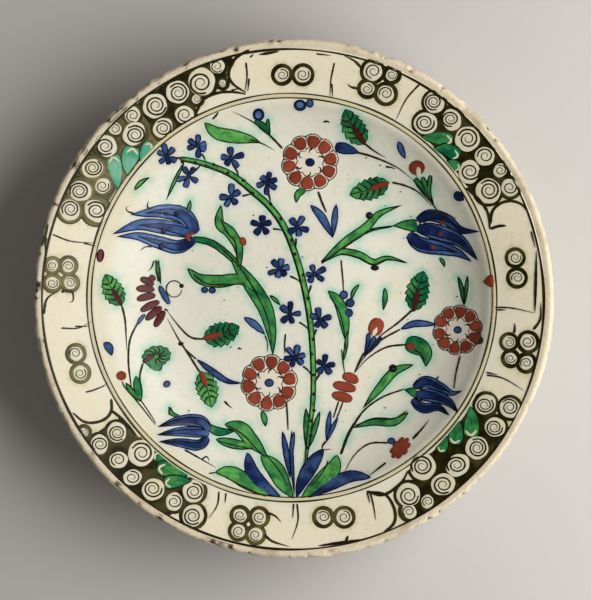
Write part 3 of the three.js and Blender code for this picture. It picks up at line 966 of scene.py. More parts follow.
short_strokes = [
    [(23.5, 136), (21.5, 126), (21, 116)], [(22, 124), (22.5, 116)], [(73, 124), (65, 115), (59, 103)],
    [(-139, 37), (-128, 33), (-113, 32)], [(-121, 32), (-113, 30)],
    [(-134, -17), (-124, -17), (-116, -13)], [(-126, -16), (-117, -16)],
    [(-120, -54), (-113, -52), (-107, -48.5)], [(-116, -53), (-108, -50)],
    [(-43, -111), (-44, -119), (-49, -127)], [(-39, -112), (-39.5, -118)],
    [(2, -118), (2.5, -128), (-1, -139)], [(0, -118), (-0.5, -127)], [(116, -5), (126, -5.5), (140, -8.5)],
    [(117, -6.5), (123, -6.5)], [(111, -44), (121, -46), (133, -53)], [(111, -42.5), (118, -44)],
    [(-36, 120), (-31, 121)], [(-141.5, 43), (-143, 33), (-142.5, 20)], [(-25, 139), (-23, 141)],
    [(13, 141), (22, 140)], [(-27.4, 136.2), (-26.8, 128), (-28, 119)], [(-25.6, 127), (-26.4, 119)],
    [(136.8, 39), (139.4, 29)], [(44, -111), (46, -119), (47.5, -128)], [(42.4, -111.5), (44, -118)],
]
heavy_strokes = [
    [(14, -142.5), (31, -140), (40, -138.5)], [(30, -140), (31.5, -136.5)], [(139, -8), (140, 28)],
    [(-20, 140.5), (-8, 142.5)],
]
paint(
    "wave_strokes",
    ink=[taper(0.8, 0.3, *s) for s in short_strokes] + [leaf(1.5, 0.1, *s) for s in heavy_strokes],
)

# %% [markdown]
# Flowers of the well.
# Nearly everything grows from one tuft of leaves. Each kind of flower is a short function: a rosette is
# ten red petals round a white eye, a tulip is three long blue petals with a darker stroke along each,
# and a rose leaf is a toothed green leaf with dark veins and a red or plum spot at its stalk.

# %% The long hyacinth
HYACINTH_STEM = [
    (-66, 81), (-51, 77.5), (-36, 71.5), (-24, 62), (-14, 53), (-6, 42), (0, 28), (5, 11), (9, -10),
    (11, -34), (11, -58), (8.5, -80), (6.5, -98),
]
FLORETS = [
    (-73, 82, 100), (-55, 88, 200), (-36, 81, 20), (-60.5, 70.5, 190), (-15.5, 67, 320), (-36, 58.5, 100),
    (-18, 42, 160), (2, 41, 60), (-8, 17, 130), (12, 14, 30), (-2, -9, 150), (15, -12, 20), (1, -34, 130),
    (17.5, -38.5, 10),
]


def floret(x, y, aim):
    """Five or six short petals round a middle, longer on the side that it faces."""
    petals = []
    count = int(rng.integers(5, 7))
    for turn in np.arange(count) * 360 / count + aim + rng.uniform(-12, 12, count):
        reach = 6.0 + 0.9 * math.cos(math.radians(turn - aim)) + rng.uniform(-1.0, 0.6)
        ahead = np.array([math.cos(math.radians(turn)), math.sin(math.radians(turn))])
        root = np.array([x, y]) + 0.7 * ahead
        spine = [root, root + ahead * reach * 0.55, root + ahead * reach]
        petals.append(stroke(spine, rng.uniform(3.3, 4.3), 0.6, 0.32, tone=rng.uniform(-0.1, 0.5)))
    return petals + [dab(x, y, 1.5, tone=0.0, sides=12)]


stalks = []
for fx, fy, aim in FLORETS:
    stem = smooth_path(HYACINTH_STEM, 200)[0]
    foot = stem[min(np.hypot(*(stem - (fx, fy)).T).argmin() + 9, 199)]
    start = np.array([fx, fy]) + 0.42 * (foot - (fx, fy))
    stalks.append(taper(1.0, 0.15, start, (start + foot) / 2 + (0.3, 0.6), start + 0.8 * (foot - start)))
dots = smooth_path(HYACINTH_STEM, 48)[0][1:-4:2] + rng.uniform(-1.9, 1.9, (22, 2))
paint(
    "hyacinth",
    cobalt=[p for spot in FLORETS for p in floret(*spot)],
    green=[
        line(3.7, 0.9, *HYACINTH_STEM, top=0.02),
        leaf(4.0, 0.2, (7, -63), (7.5, -75), (8, -91)),
        leaf(3.4, 0.4, (15, -65), (12, -75), (9, -86)),
    ],
    ink=stalks + [dab(x, y, 1.0, tone=0.0, sides=10) for x, y in dots]
    + [line(0.45, 0.5, *[(x - 0.9, y - 0.5) for x, y in HYACINTH_STEM])],
)

# %% Rosettes
def rosette(node, x, y, size, heart=0.6, green=(), cobalt=(), ink=()):
    """Ten raised red petals in a scalloped white edge, round a white six-lobed eye with a blue heart."""
    def at(share, angle):
        return x + size * share * math.cos(angle), y + size * share * math.sin(angle)

    red, ticks = [], []
    for k in range(10):
        turn = math.radians(36 * k + 10 + rng.uniform(-1.5, 1.5))
        spine = [at(share, turn) for share in (0.5, 0.73, 0.96)]
        red.append(stroke(spine, size * rng.uniform(0.41, 0.45), 0.4, 0.28, tone=rng.uniform(0, 1)))
        notch = turn + math.pi / 10
        ticks.append(taper(0.6, 0.2, *[at(share, notch) for share in (0.95, 0.85, 0.72)]))
    for turn in np.radians(60 * np.arange(6) + 25):
        bow = [at(share, turn + bend) for share, bend in ((0.5, -0.1), (0.42, 0.12), (0.3, 0.1))]
        ticks.append(taper(0.9, 0.1, *bow))
    rim = [dab(x, y, size * 1.03, turn=10, lobes=10, depth=0.1, tone=0.3, sides=90),
           dab(x, y, size * 0.54, turn=25, lobes=6, depth=0.16, tone=0.0, top=0.17, sides=60)]
    middle = dab(x, y, size * 0.18, size * 0.16, tone=heart, top=0.35, sides=18)
    paint(node, red=red, petals=rim, cobalt=[middle, *cobalt], ink=[*ticks, *ink])
    if green:
        paint(f"{node}_leaves", green=green)


rosette(
    "rosette_top", 9.3, 78.5, 16.3, heart=-0.2,
    green=[leaf(4.2, 0.4, (7.5, 63), (2.5, 60.5), (1.2, 55))],
    cobalt=[
        leaf(4.6, 0.45, (9.5, 54), (16, 47), (22.5, 35)),
        leaf(3.6, 0.5, (24.5, 54.5), (23.5, 46), (22.5, 35)),
    ],
    ink=[
        line(1.1, 0.2, (14, 62), (16.5, 55), (19, 49.5)),
        line(0.7, 0.4, (27.3, 22.5), (28.3, 12), (28.8, 4)),
    ],
)
rosette(
    "rosette_centre", -14.2, -48.5, 16.2,
    green=[leaf(3.6, 0.4, (-18.5, -64.5), (-17, -69), (-16.2, -74))],
    cobalt=[
        leaf(3.8, 0.15, (-56, -35), (-46.5, -42.3), (-38, -47.6), (-29.5, -48.8)),
        leaf(3.6, 0.2, (-6.5, -76.5), (-4.5, -88), (-2, -104)),
        leaf(2.8, 0.3, (0.2, -76.5), (-1, -84), (-1.8, -94)),
    ],
    ink=[
        taper(0.8, 0.3, (-56, -35), (-62, -29.5), (-66, -24)),
        line(0.8, 0.4, (-4.2, -59), (-3.6, -67), (-3.2, -76)),
    ],
)
rosette(
    "rosette_right", 94.4, -18, 14.3,
    cobalt=[leaf(4.0, 0.6, (61.5, -17.6), (70, -14.4), (83, -15))],
    ink=[
        line(0.9, 0.5, (96, -32.5), (93.5, -43), (92.3, -52)),
        taper(0.9, 0.3, (61.5, -17.6), (49.5, -24.5), (40.5, -34), (35, -43)),
        dab(107, -24, 2.3, tone=0.6, sides=14),
    ],
)

# %% Tulips
def tulip(node, petals, spots=(), eye=None, **more):
    """Long pointed petals (path..., width, tone), a darker stroke along each, and red spots."""
    layers = {"cobalt": [petal(width, tone, *points) for *points, width, tone in petals]}
    layers["cobalt"] += [taper(0.55 * width, tone - 0.5, *points[:4], top=0.1)
                         for *points, width, tone in petals]
    if eye:
        layers["white"] = [bean(4.0, 0.0, *eye)]
    layers["cobalt"] += more.pop("cobalt", [])
    if spots:
        layers["red"] = [dab(x, y, 1.35, 1.2, tone=0.3, sides=12) for x, y in spots] + more.pop("red", [])
    paint(node, **layers, **more)


tulip(
    "tulip_left",
    [
        ((-56, 37.5), (-63, 47.5), (-75, 50.3), (-86, 49.2), (-94, 48.4), 9.8, 0.75),
        ((-58.5, 36.5), (-66, 39.5), (-78, 41.8), (-90, 42.4), (-104.5, 37.2), 8.8, 0.8),
        ((-57, 34), (-67, 29.8), (-78, 32.5), (-90, 36.0), (-102, 35.8), 8.2, 0.7),
    ],
    eye=[(-58.6, 39.5), (-60.8, 36), (-58.6, 32.6)],
    red=[bean(2.6, 0.9, (-57.6, 38.2), (-61.4, 35.6), (-59.3, 33.2))],
    green=[
        line(3.9, 0.3, (-58.6, 34.4), (-50, 33), (-43, 29.4), (-33.5, 21), (-26, 11.4)),
        leaf(8.6, 0.35, (-36, 23), (-25, 8.4), (-16.4, -5.6), (-12.8, -20), (-12, -33)),
        leaf(6.2, 0.55, (-42, 54), (-42.8, 43.5), (-36.7, 38), (-31.8, 29), (-31, 16)),
        leaf(7.0, 0.5, (-61.5, 17.5), (-54, 11.4), (-43, 10), (-30.3, 10.8), (-20, 2)),
        leaf(2.6, 0.8, (-61, 49.5), (-60.3, 53), (-59.5, 57)),
        leaf(2.2, 0.7, (-63, 79), (-69, 67), (-73.6, 56.5)),
        leaf(2.8, 0.6, (-92, 62.5), (-88, 67), (-83, 70)),
    ],
    ink=[
        taper(0.9, 0.5, (-92, 49), (-95.5, 50.2), (-96.6, 52), (-95.6, 53.3)),
        taper(0.9, 0.5, (-82, 51.5), (-84.3, 53), (-83.6, 56.4)),
        taper(0.8, 0.5, (-81.5, 30), (-85.5, 29.8), (-88.5, 27.6)),
        line(0.7, 0.1, (-43, 30.5), (-31, 18), (-22, 3.5), (-15.5, -10), (-12.5, -26)),
        line(0.8, 0.1, (-42.4, 46), (-38, 37.6), (-33.5, 32), (-32.5, 18)),
        line(0.7, 0.1, (-58, 14), (-50, 8.6), (-40, 8.2), (-28, 8.5)),
    ],
    cobalt=[dab(x, y, size, 0.8 * size, turn=turn, tone=-0.4, top=0.22, sides=12)
     for x, y, size, turn in (
          (-73.7, 49, 1.5, 0), (-67.5, 49, 1.9, 0), (-75, 39.2, 1.9, 80), (-76.2, 30.3, 2.1, 60))],
)
paint(
    "tulip_left_spots",
    red=[dab(-29.2, 33, 1.9, 2.6, turn=20, tone=0.9)],
    cobalt=[dab(-51.4, 5, 2.2, 1.9, tone=0.1), dab(-47, 4.8, 2.2, 1.9, tone=0.2)],
)
tulip(
    "tulip_right",
    [
        ((71, 44.5), (78, 48), (88, 45.6), (96, 39.6), (107, 38.6), 7.4, 0.15),
        ((71, 41), (84, 38.0), (96, 33), (106.2, 22), 9.6, 0.65),
        ((66, 37.4), (73, 31.4), (86, 28.8), (95, 26.2), (102.5, 21.3), 9.2, 0.6),
    ],
    spots=[(85.2, 43.8), (84.3, 37.2), (80, 29.6)],
    eye=[(71.5, 45.5), (73.5, 41.5), (73.5, 38.0)],
    green=[
        calyx(7.6, 0.2, (57, 42), (64, 42.4), (73, 41.8)),
        line(1.8, 0.2, (15.7, 21), (29.6, 32.8), (42, 39), (58, 42)),
        leaf(5.2, 0.55, (16, 21), (29.6, 32.5), (41, 40.5), (49.5, 49), (62.5, 54)),
        leaf(4.2, 0.6, (15.7, 20.5), (26.4, 26.8), (37, 25.4), (46, 21), (54, 23.4), (66, 20.6)),
        leaf(2.4, 0.5, (84, 23.6), (86, 21), (87, 18)),
    ],
    ink=[
        line(0.75, 0.1, (16, 20), (31, 31.2), (44, 38.6), (57, 41.4)),
        line(0.7, 0.1, (27, 26), (37, 23.8), (46, 19.6), (54, 22.6), (65, 20.4)),
        taper(0.7, 0.3, (78, 49), (86, 49.2), (94, 46)),
        dab(43.6, 47.9, 2.1, tone=0.0, sides=16),
        dab(46.8, 17.7, 2.4, 1.6, tone=0.0, sides=16),
    ],
)
paint(
    "tulip_right_spots",
    cobalt=[
        dab(43.9, 47.7, 1.2, tone=0.9, top=0.35, sides=12),
        dab(46.9, 17.8, 1.3, 0.8, tone=0.8, top=0.35, sides=12),
    ],
)
tulip(
    "tulip_lower_left",
    [
        ((-48.5, -76), (-54, -70.6), (-66, -70.4), (-78.5, -73.9), 7.4, 0.75),
        ((-48.5, -78), (-58, -76.8), (-68, -76.9), (-79, -78.6), 6.6, 0.95),
        ((-49, -80), (-55, -84.4), (-66, -83), (-78, -82.4), 6.6, 0.7),
    ],
    green=[
        leaf(5.0, 0.15, (-50.6, -72.2), (-44, -76.5), (-34, -76.4)),
        leaf(5.6, 0.6, (-45, -81), (-35, -83.6), (-21.5, -86)),
        leaf(8.0, 0.6, (-40, -72.4), (-31, -74.4), (-24.8, -81), (-15, -91.6)),
        leaf(2.6, 0.3, (-72, -62), (-70, -66.4), (-64.5, -68.2)),
    ],
    ink=[
        line(0.7, 0.1, (-38, -73), (-29, -78.5), (-23, -85), (-16, -92)),
        line(0.6, 0.2, (-44, -82), (-34, -84.5), (-23, -87)),
        taper(0.9, 0.2, (-63, -87), (-55, -91.5), (-44.5, -97.5)),
        taper(0.8, 0.2, (-53, -92.5), (-50, -91), (-48.5, -94)),
        taper(0.6, 0.2, (-70, -62.5), (-72, -66.5), (-65.5, -68.6)),
    ],
)
tulip(
    "tulip_lower_right",
    [
        ((69, -51.5), (76, -47.8), (85, -51.3), (91, -54.5), (97, -53.2), 7.0, 0.4),
        ((70, -55), (80, -56), (89, -59.5), (95, -66), 8.0, 0.55),
        ((68, -58), (74.5, -63), (83, -62.6), (89.8, -67.4), 6.4, 0.5),
    ],
    green=[
        calyx(7.0, 0.2, (63.6, -52.4), (68, -53.4), (74.4, -55.6)),
        leaf(5.2, 0.6, (69, -38), (58, -42), (49, -52), (39.5, -63.5)),
        leaf(4.8, 0.5, (66.2, -65.5), (58, -71), (45.7, -71), (33.5, -74.6)),
        line(1.6, 0.3, (27, -90), (32, -77), (40, -64.5)),
    ],
    white=[bean(2.2, 0.0, (70, -51.5), (72.5, -54.5), (72, -58))],
    ink=[
        line(0.9, 0.1, (64, -52), (51, -56.8), (40, -65), (31.5, -78), (27, -90)),
        line(0.6, 0.2, (65.5, -64.5), (57, -69.4), (46, -69.6), (35, -73)),
        line(0.8, 0.2, (82, -47), (83.5, -44.6)),
        dab(57.2, -40.2, 2.4, tone=0.0, sides=16),
    ],
)
paint("tulip_lower_right_spot", cobalt=[dab(57.4, -40.5, 1.3, tone=0.4, top=0.35, sides=12)])

# %% Rose leaves
def rose_leaf(node, base, tip, width, bend, stem, spot=0.55, tone=0.25, colour="red"):
    """A toothed leaf with paired veins, a red or plum spot from its stalk, and a thin dark stem."""
    base, tip = np.array(base, float), np.array(tip, float)
    ahead = tip - base
    side = np.array([-ahead[1], ahead[0]]) / np.hypot(*ahead)
    middle = (base + tip) / 2 + bend * side
    veins = [line(0.5, 0.05, base, middle, tip)]
    for share in (0.2, 0.36, 0.52, 0.68):
        root = base + ahead * share + bend * side * 4 * share * (1 - share)
        for hand in (-1, 1):
            out = 0.42 * width * (1.1 - 0.6 * share)
            bow = (root + 0.12 * hand * out * side, root + 0.6 * out * hand * side + 0.06 * ahead,
                   root + out * hand * side + 0.16 * ahead)
            veins.append(taper(0.95, 0.0, *bow))
    green = [stroke([base, middle, tip], width, 0.52, 0.72, tone=tone, teeth=6, tooth=0.24)]
    end = base + ahead * spot + bend * side * 4 * spot * (1 - spot)
    paint(node, green=green, ink=veins + [taper(1.0, 0.25, *stem)],
          **{colour: [bean(width * 0.24, 0.4, base - 0.05 * ahead, (base + end) / 2, end)]})


rose_leaf(
    "leaf_top", (40.8, 89.4), (29.6, 109.2), 15, 1.2,
    [(40.8, 89.4), (46.5, 85), (53.4, 81)],
    colour="plum",
)
rose_leaf(
    "leaf_upper_right", (54.2, 66.8), (32, 59.8), 14, 0.5,
    [(56.6, 67), (64.5, 65), (72, 61.2), (80, 53)],
    spot=0.5, tone=0.3,
)
rose_leaf(
    "leaf_right", (69.2, -6.6), (75, 16), 15, 0.6,
    [(69, -6), (60, -14), (49.5, -22), (42, -31)],
    colour="plum",
)
rose_leaf(
    "leaf_left", (-99.4, -3.5), (-108.6, 14.2), 13.5, 0.6,
    [(-99, -4), (-97.2, -12), (-96.4, -24), (-96.2, -29.6)],
    tone=0.5, colour="plum",
)
rose_leaf(
    "leaf_middle_left", (-51.5, -22.8), (-31.2, -16), 15.5, -1.0,
    [(-51.7, -23.3), (-59.2, -22.3), (-66, -16), (-73, -6.8)],
    spot=0.5,
)
rose_leaf(
    "leaf_lower_left", (-53.4, -42.6), (-47.2, -62.8), 14, 0.6,
    [(-54.2, -42.2), (-60, -33), (-66.6, -22.8), (-72.8, -11.2)],
    spot=0.4, tone=0.6,
)
paint(
    "leaf_small_right",
    green=[petal(11, 0.2, (64, -25.6), (71.6, -27.4), (76, -31.6), (76.2, -39.4))],
    ink=[
        line(0.7, 0.0, (69, -29.4), (73.4, -32), (75.6, -36.4)),
        taper(1.0, 0.25, (65.5, -26.4), (53.5, -28), (42.8, -34.4), (35, -43)),
    ],
    red=[dab(67.4, -27.4, 2.8, 2.1, turn=10, tone=0.4, sides=16)],
)
CURL = (-79.2, -33.2)
paint(
    "leaf_curled",
    green=[
        dab(*CURL, 9.0, 6.4, turn=12, lobes=11, depth=0.1, tone=0.15, sides=88),
        calyx(8.0, 0.1, (-80, -30), (-79, -36), (-80.4, -41.6)),
    ],
    ink=[taper(1.0, 0.2, (-86.8, -37), (-88.6, -44), (-88.2, -50), (-87.2, -55))]
    + [taper(
         0.9, 0.0,
         (CURL[0] + 1.5 * math.cos(t), CURL[1] + 1.2 * math.sin(t)),
         (CURL[0] + 5.2 * math.cos(t + 0.15), CURL[1] + 4.0 * math.sin(t + 0.15)),
         (CURL[0] + 7.4 * math.cos(t + 0.45), CURL[1] + 5.4 * math.sin(t + 0.45)),
     )
     for t in np.radians(np.arange(-100, 180, 32))],
    plum=[bean(2.6, 0.6, (-86.8, -37), (-84, -34.6), (-80.4, -32.8))],
)

# %% Buds and small sprays
paint(
    "bud_upper_right",
    red=[dab(71, 75.4, 4.2, 4.6, turn=100, tone=0.2)],
    white=[leaf(2.6, 0.0, (71.6, 76), (71.8, 72.5), (71.4, 69.5), top=0.42)],
    green=[
        calyx(3.8, 0.2, (81, 53.6), (74.8, 62), (69.8, 69.6)),
        calyx(3.4, 0.3, (81, 53.6), (77, 62), (74, 70.4)),
        calyx(3.2, 0.4, (81, 53.6), (78, 62), (78.8, 71.4)),
    ],
    ink=[line(0.8, 0.2, (68.7, 68.7), (79, 55.8), (84.3, 48.4))],
)
paint(
    "spray_upper_right",
    cobalt=[petal(7.0, 0.05, (23.4, 87.4), (29, 86.6), (38, 84))],
    ink=[
        taper(1.1, 0.25, (36, 84.4), (46, 81.6), (59, 75.9), (68.7, 68.6)),
        taper(1.0, 0.1, (53, 76), (56, 75.6), (59, 74.6)),
    ],
)
paint(
    "bud_top",
    cobalt=[dab(-20.3, 106, 3.5, 3.7, tone=0.1), dab(-20.3, 106, 2.7, 2.9, tone=1.3, top=0.17)],
    green=[
        leaf(4.2, 0.05, (-22.8, 102.8), (-18, 99.5), (-13.6, 93.8)),
        leaf(2.8, 0.15, (-14.8, 104), (-15, 99), (-13.6, 93.8)),
    ],
    ink=[
        taper(1.1, 0.3, (-6.4, 86.4), (-13.8, 94), (-23.6, 101.8), (-36, 108.2)),
        line(1.0, 0.4, (-46.9, 103.2), (-44.6, 105.6), (-43.4, 107.6)),
        line(1.0, 0.1, (17.2, 101.6), (19, 102.2), (20.8, 101.4)),
    ],
)
paint(
    "long_leaf_top",
    green=[leaf(7.6, 0.85, (-51.6, 101.4), (-44.5, 95.6), (-34, 93.3), (-25, 91.8), (-18.5, 89.6))],
    ink=[taper(0.8, 0.3, (-25, 91.8), (-17, 88.8), (-10.6, 85.2))],
)
paint(
    "bud_middle",
    red=[bean(8.6, 0.8, (45.8, -21.4), (47.4, -16.4), (49.8, -11.4))],
    white=[leaf(2.2, 0.0, (45.4, -21.6), (46.6, -19.2), (48, -16.4), top=0.42)],
    cobalt=[
        calyx(3.0, 0.3, (40.2, -34), (42.4, -26), (43.2, -19.6)),
        calyx(3.0, 0.5, (40.2, -34), (44.4, -27), (46.8, -21.4)),
        calyx(3.0, 0.15, (40.2, -34), (45.6, -28), (50.6, -22)),
    ],
    ink=[line(1.0, 0.1, (40.5, -31), (37.5, -37), (35, -43))],
)
paint(
    "bud_left",
    red=[dab(-99.3, -44.4, 2.9, 2.7, tone=0.0)],
    green=[
        leaf(3.4, 0.2, (-97, -48.4), (-93, -54), (-88, -59.6)),
        leaf(4.8, 0.25, (-91, -44.5), (-89.8, -52), (-88, -59.6)),
    ],
    ink=[
        line(0.8, 0.4, (-99, -47.4), (-97, -51.5), (-90, -59.5), (-79.6, -72.8)),
        line(0.6, 0.5, (-88.4, -58), (-83, -66), (-79.2, -72)),
    ],
)
paint(
    "bud_lower_right",
    red=[dab(61.4, -86, 7.4, 4.8, turn=50, lobes=8, depth=0.24, tone=0.4, sides=96)],
    cobalt=[dab(56.2, -82, 2.4, 2.0, tone=0.7)],
    ink=[
        taper(0.9, 0.5, (54.5, -83), (43.6, -83.6), (35, -90.2), (28, -102.4)),
        taper(1.2, 0.3, (68.4, -81), (73, -76), (78.4, -69.6)),
        taper(1.1, 0.3, (53.2, -94.4), (48, -98.5), (43, -102.4)),
    ],
)
paint(
    "bud_triple",
    red=[
        bean(5.8, 1.0, (28.0, -44.4), (32.5, -45.4), (37.2, -48.2)),
        bean(5.8, 0.6, (22.6, -49.2), (29.4, -50.8), (36, -52.4)),
        bean(5.8, 0.8, (22, -55), (28, -56.6), (34, -58.2)),
    ],
    cobalt=[
        leaf(3.0, 0.3, (21, -64.4), (20, -72), (18.6, -82)),
        leaf(2.6, 0.4, (25.4, -68.4), (21.6, -76), (18.4, -83.4)),
    ],
    ink=[
        line(0.8, 0.3, (26, -59), (24.4, -64), (22.8, -69)),
        line(0.7, 0.3, (28.6, -59), (26.4, -65), (24, -71)),
        taper(1.0, 0.1, (18.6, -82), (16.6, -85), (16.6, -88)),
        line(0.6, 0.6, (27.6, -29), (28.4, -36), (29.4, -43)),
    ],
)
paint(
    "sprig",
    green=[
        leaf(6.4, 0.5, (19.6, 4.6), (25.6, -1.4), (28.8, -11), (30.4, -26)),
        leaf(2.6, 0.7, (37.8, 8.4), (34.4, 4), (32.8, -2)),
        leaf(2.4, 0.6, (30.8, -18), (30, -28), (28, -38)),
    ],
    cobalt=[dab(28.8, 2.2, 2.6, tone=0.3), dab(32.4, -2.4, 2.7, tone=0.4), dab(31.6, -8.2, 2.6, tone=0.3)],
    ink=[line(0.6, 0.1, (20.6, 1.5), (26, -7), (29, -18), (30.2, -30))],
)

# %% The carnation and the motifs that the ring line cuts
FAN = [
    ((-80.6, 7.6), (-88.6, 11.6)), ((-80.0, 5.0), (-91, 5.6)), ((-79.4, 1.9), (-90.6, -0.6)),
    ((-77.2, -1.6), (-88.4, -7.2)), ((-75.9, -4.6), (-85.4, -12.4)), ((-74.4, -6.8), (-80.2, -16.4)),
    ((-80.8, 9.8), (-83.4, 12.6)),
]
paint(
    "carnation",
    plum=[bean(4.5, rng.uniform(0.0, 0.9), root, np.add(root, tip) / 2 + (0.3, 0.5), tip)
     for root, tip in FAN],
    cobalt=[
        bean(4.0, 0.5, (-77.6, 7.6), (-75, 2.6), (-71.6, -3.4)),
        leaf(2.4, 0.7, (-85.6, -8.8), (-88.4, -12), (-90.6, -15.6)),
    ],
    ink=[
        line(1.0, 0.25, (-89.8, -13.6), (-94.4, -24), (-95.2, -37), (-93.4, -52)),
        line(0.7, 0.6, (-79.4, 22.6), (-79.2, 16), (-78, 9.4)),
        line(0.6, 0.7, (-77.8, 22.6), (-77.4, 16), (-77, 10)),
        line(1.0, 0.2, (-74.4, -6), (-72.2, -7)),
        dab(-64.6, 7.3, 1.3, tone=0.2, sides=12),
        dab(-65, -26, 1.6, 1.3, sides=10),
        taper(0.8, 0.5, (-80.4, 22), (-81.8, 18), (-84, 15.6)),
    ],
)
loop = np.radians(np.linspace(10, 355, 24))
paint(
    "drawn_loop",
    ink=[line(0.6, 0.4, *np.stack([-68.9 + 4.5 * np.cos(loop), 5.6 + 4.7 * np.sin(loop)], 1))],
)
paint("cut_bud_left", plum=[dab(-111.4, 24.8, 2.2, 3.9, turn=-8, tone=0.1)])
paint("cut_bud_right", red=[calyx(7.4, 0.1, (109.2, 9.6), (112.4, 10), (115.4, 10.2))])
paint("cut_leaf_right", cobalt=[leaf(5.2, 0.1, (93.4, 62), (95, 59), (98.2, 56.6))])
paint(
    "cut_floret_top",
    cobalt=[
        dab(3.6, 111.4, 3.8, 3.4, tone=0.2),
        dab(9.2, 112.6, 2.3, 2.6, tone=0.3),
        dab(3.6, 111.6, 2.9, 2.5, tone=1.2, top=0.17),
    ],
)
paint(
    "loose_leaves",
    cobalt=[
        leaf(3.8, 0.6, (60.2, 90.8), (62, 85.6), (64.4, 80.4)),
        leaf(4.2, 0.5, (-28.8, -10.8), (-23, -14.6), (-16.4, -20.8)),
        leaf(4.6, 0.45, (-109.8, -25.4), (-106.6, -28), (-104.8, -33)),
        dab(-73.2, -49.2, 2.3, 2.0, turn=30, tone=0.3),
    ],
    green=[
        leaf(3.2, 0.3, (52.4, 6.4), (52.6, 0), (51.4, -7)),
        leaf(2.8, 0.2, (94.6, 13), (96.6, 6), (98, -4)),
        leaf(2.4, 0.4, (100.2, 13.4), (99.4, 6), (98.4, -4)),
        leaf(2.6, 0.5, (-79, 22), (-77.8, 14), (-76.6, 8)),
        leaf(2.4, 0.7, (-14, 2), (-10.8, -0.6), (-7.6, -4)),
    ],
    ink=[
        taper(0.6, 0.3, (-16.6, -20.8), (-15.2, -25), (-15, -31)),
        taper(1.0, 0.5, (-40, -59), (-37.4, -61.6), (-35.2, -63.4)),
        taper(1.0, 0.2, (-32, -28.6), (-29.6, -29)),
        line(0.8, 0.4, (-4.6, -20), (-5.2, -26), (-5, -32)),
    ],
)

# %% The tuft at the foot
paint(
    "leaf_tuft",
    green=[
        leaf(8.4, 0.6, (-45.4, -100), (-36, -100.4), (-25, -107), (-13, -114)),
        leaf(9.4, 0.6, (-19, -90), (-11, -98), (-5.8, -107), (0, -115.4)),
        leaf(9.6, 0.65, (25, -90), (22.6, -98), (15, -106.4), (4, -115)),
    ],
    cobalt=[
        leaf(7.6, 0.2, (-26.8, -88.6), (-24, -100), (-16.8, -108.4), (-7, -114.8)),
        leaf(7.8, 0.15, (17.2, -86.6), (10.4, -95.6), (4.6, -106), (1.4, -115)),
        leaf(6.8, 0.25, (44.6, -103), (32.6, -102.4), (20.8, -107.6), (8, -115)),
        leaf(2.4, 0.2, (-1.2, -76), (-1.2, -92), (0.4, -114)),
    ],
    ink=[
        line(0.8, 0.4, (-45, -100.2), (-49, -100.8)),
        taper(0.6, 0.6, (15.6, -88), (18, -87), (22, -86.8)),
        line(0.6, 0.1, (-40, -102.6), (-28, -108.8), (-16, -114.2)),
        line(0.6, 0.1, (-16, -90), (-8.4, -99), (-3.4, -108)),
        line(0.6, 0.1, (20, -93), (16.8, -100), (9, -109)),
    ],
)
bearing = rng.uniform(0, TAU, 60)
reach = 112 * np.sqrt(rng.uniform(0.01, 1, 60))
paint(
    "fired_specks",
    ink=[dab(r * math.cos(t), r * math.sin(t), s, s * 0.7, turn=math.degrees(5 * t), tone=k, sides=8)
     for r, t, s, k in zip(reach, bearing, rng.uniform(0.2, 0.55, 60), rng.uniform(0, 1, 60))],
)
painted = [o for o in bpy.data.objects if "brush" in getattr(o.data, "uv_layers", {})]
print("painted objects:", len(painted))

# %% [markdown]
# Colour that bled into the slip.
# Copper creeps furthest in the kiln, so a soft turquoise cloud surrounds every green stroke, and cobalt
# leaves a faint blue one. For each point of the face, the distance to the nearest stroke gives the
# strength of the stain.

# %% Stains round the strokes
def bleed(places, reach):
    """exp(-(distance / reach)^2) to the nearest of the strokes' points, for each point of the face."""
    tile_mm, margin, every = 15, 12, 3
    sources = np.concatenate([p[:, :2][p[:, 2] > 0] for p in places])[::every]
    target = face_points[:, :2]
    nearest = np.full(len(target), 1e9)
    tile = np.floor(target / tile_mm) @ (1000, 1)
    order = np.argsort(tile, kind="stable")
    for chunk in np.split(order, np.flatnonzero(np.diff(tile[order])) + 1):
        spot = target[chunk]
        low, high = spot.min(0) - margin, spot.max(0) + margin
        near = sources[((sources > low) & (sources < high)).all(1)]
        if len(near):
            gap = ((spot[:, None] - near[None]) ** 2).sum(-1)
            nearest[chunk] = gap.min(1)
    return np.exp(-nearest / reach**2)


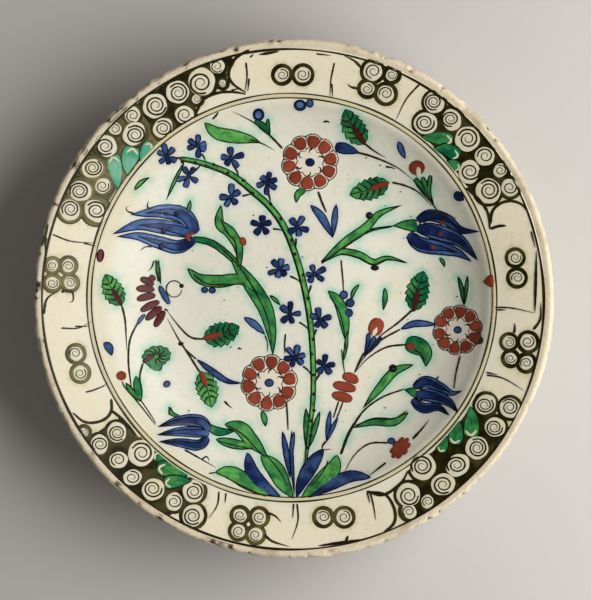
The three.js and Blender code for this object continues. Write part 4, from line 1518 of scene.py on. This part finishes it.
face_r = np.hypot(*face_points[:, :2].T)
face_left = 0.5 - 0.5 * face_points[:, 0] / np.maximum(face_r, 1)
stains = {
    "green_bleed": 0.7 * bleed(bled["green"], 3.0),
    "blue_bleed": 0.4 * bleed(bled["cobalt"], 1.6),
    "olive_bleed": 0.6 * bleed(bled["ground"], 1.8),
    "warm_stain": 0.3 * np.exp(-(((face_r - 113) / 5) ** 2)) * face_left**2,
}
face = add_mesh("face_glaze", face_points, face_quads, FACE_GLAZE, stains, weld=True)
settle(face, "slip_glaze", "face_coat")
print("points stained green:", int((stains["green_bleed"] > 0.1).sum()))


# %% [markdown]
# Floor, light and camera.
# The dish lies face up on a pale warm floor, seen from straight above. One soft light low on the right
# throws the rim's shadow to the left; a weak even sky fills it.

# %% Floor
def make_floor():
    """A level square, finely grained so that it isn't one flat colour."""
    half = 4000.0
    corners = np.array([[-half, -half, 0], [half, -half, 0], [half, half, 0], [-half, half, 0]])
    f = Finish("floor paper", {"Specular IOR Level": 0.2})
    colour = f.mix(f.noise(600, 2).step(0.3, 0.7), "cbc8c4", "d0cdcb")
    paper = f.done(colour, 0.75 + 0.1 * f.noise(5, 3), f.noise(0.8, 3), 0.03)
    return add_mesh("floor", corners, np.array([[0, 1, 2, 3]]), paper)


floor = make_floor()

# %% Light
def area_light(name, place, target, width, height, watts, tint):
    data = bpy.data.lights.new(name, "AREA")
    data.shape = "ELLIPSE"
    data.size = width
    data.size_y = height
    data.energy = watts
    data.color = tint
    lamp = bpy.data.objects.new(name, data)
    lamp.location = place
    aim = np.array(target) - np.array(place)
    lamp.rotation_euler = Vector(aim).to_track_quat("-Z", "Y").to_euler()
    bpy.context.scene.collection.objects.link(lamp)


area_light("key", place=(0.58, 0.0, 0.60), target=(0.0, 0.0, 0.02), width=1.2, height=0.5, watts=8.6,
           tint=(1.0, 0.985, 0.965))
world = bpy.data.worlds.new("soft sky")
world.use_nodes = True
sky = world.node_tree.nodes["Background"].inputs
sky["Color"].default_value = (1.0, 0.985, 0.955, 1)
sky["Strength"].default_value = 0.13
bpy.context.scene.world = world
bpy.context.scene.view_settings.view_transform = "Standard"

# %% Camera
camera_data = bpy.data.cameras.new("camera")
camera_data.sensor_width = 36.0
camera_data.lens = 150.8
camera = bpy.data.objects.new("camera", camera_data)
camera.location = (0.0010, -0.0008, 1.5)
bpy.context.scene.collection.objects.link(camera)
bpy.context.scene.camera = camera
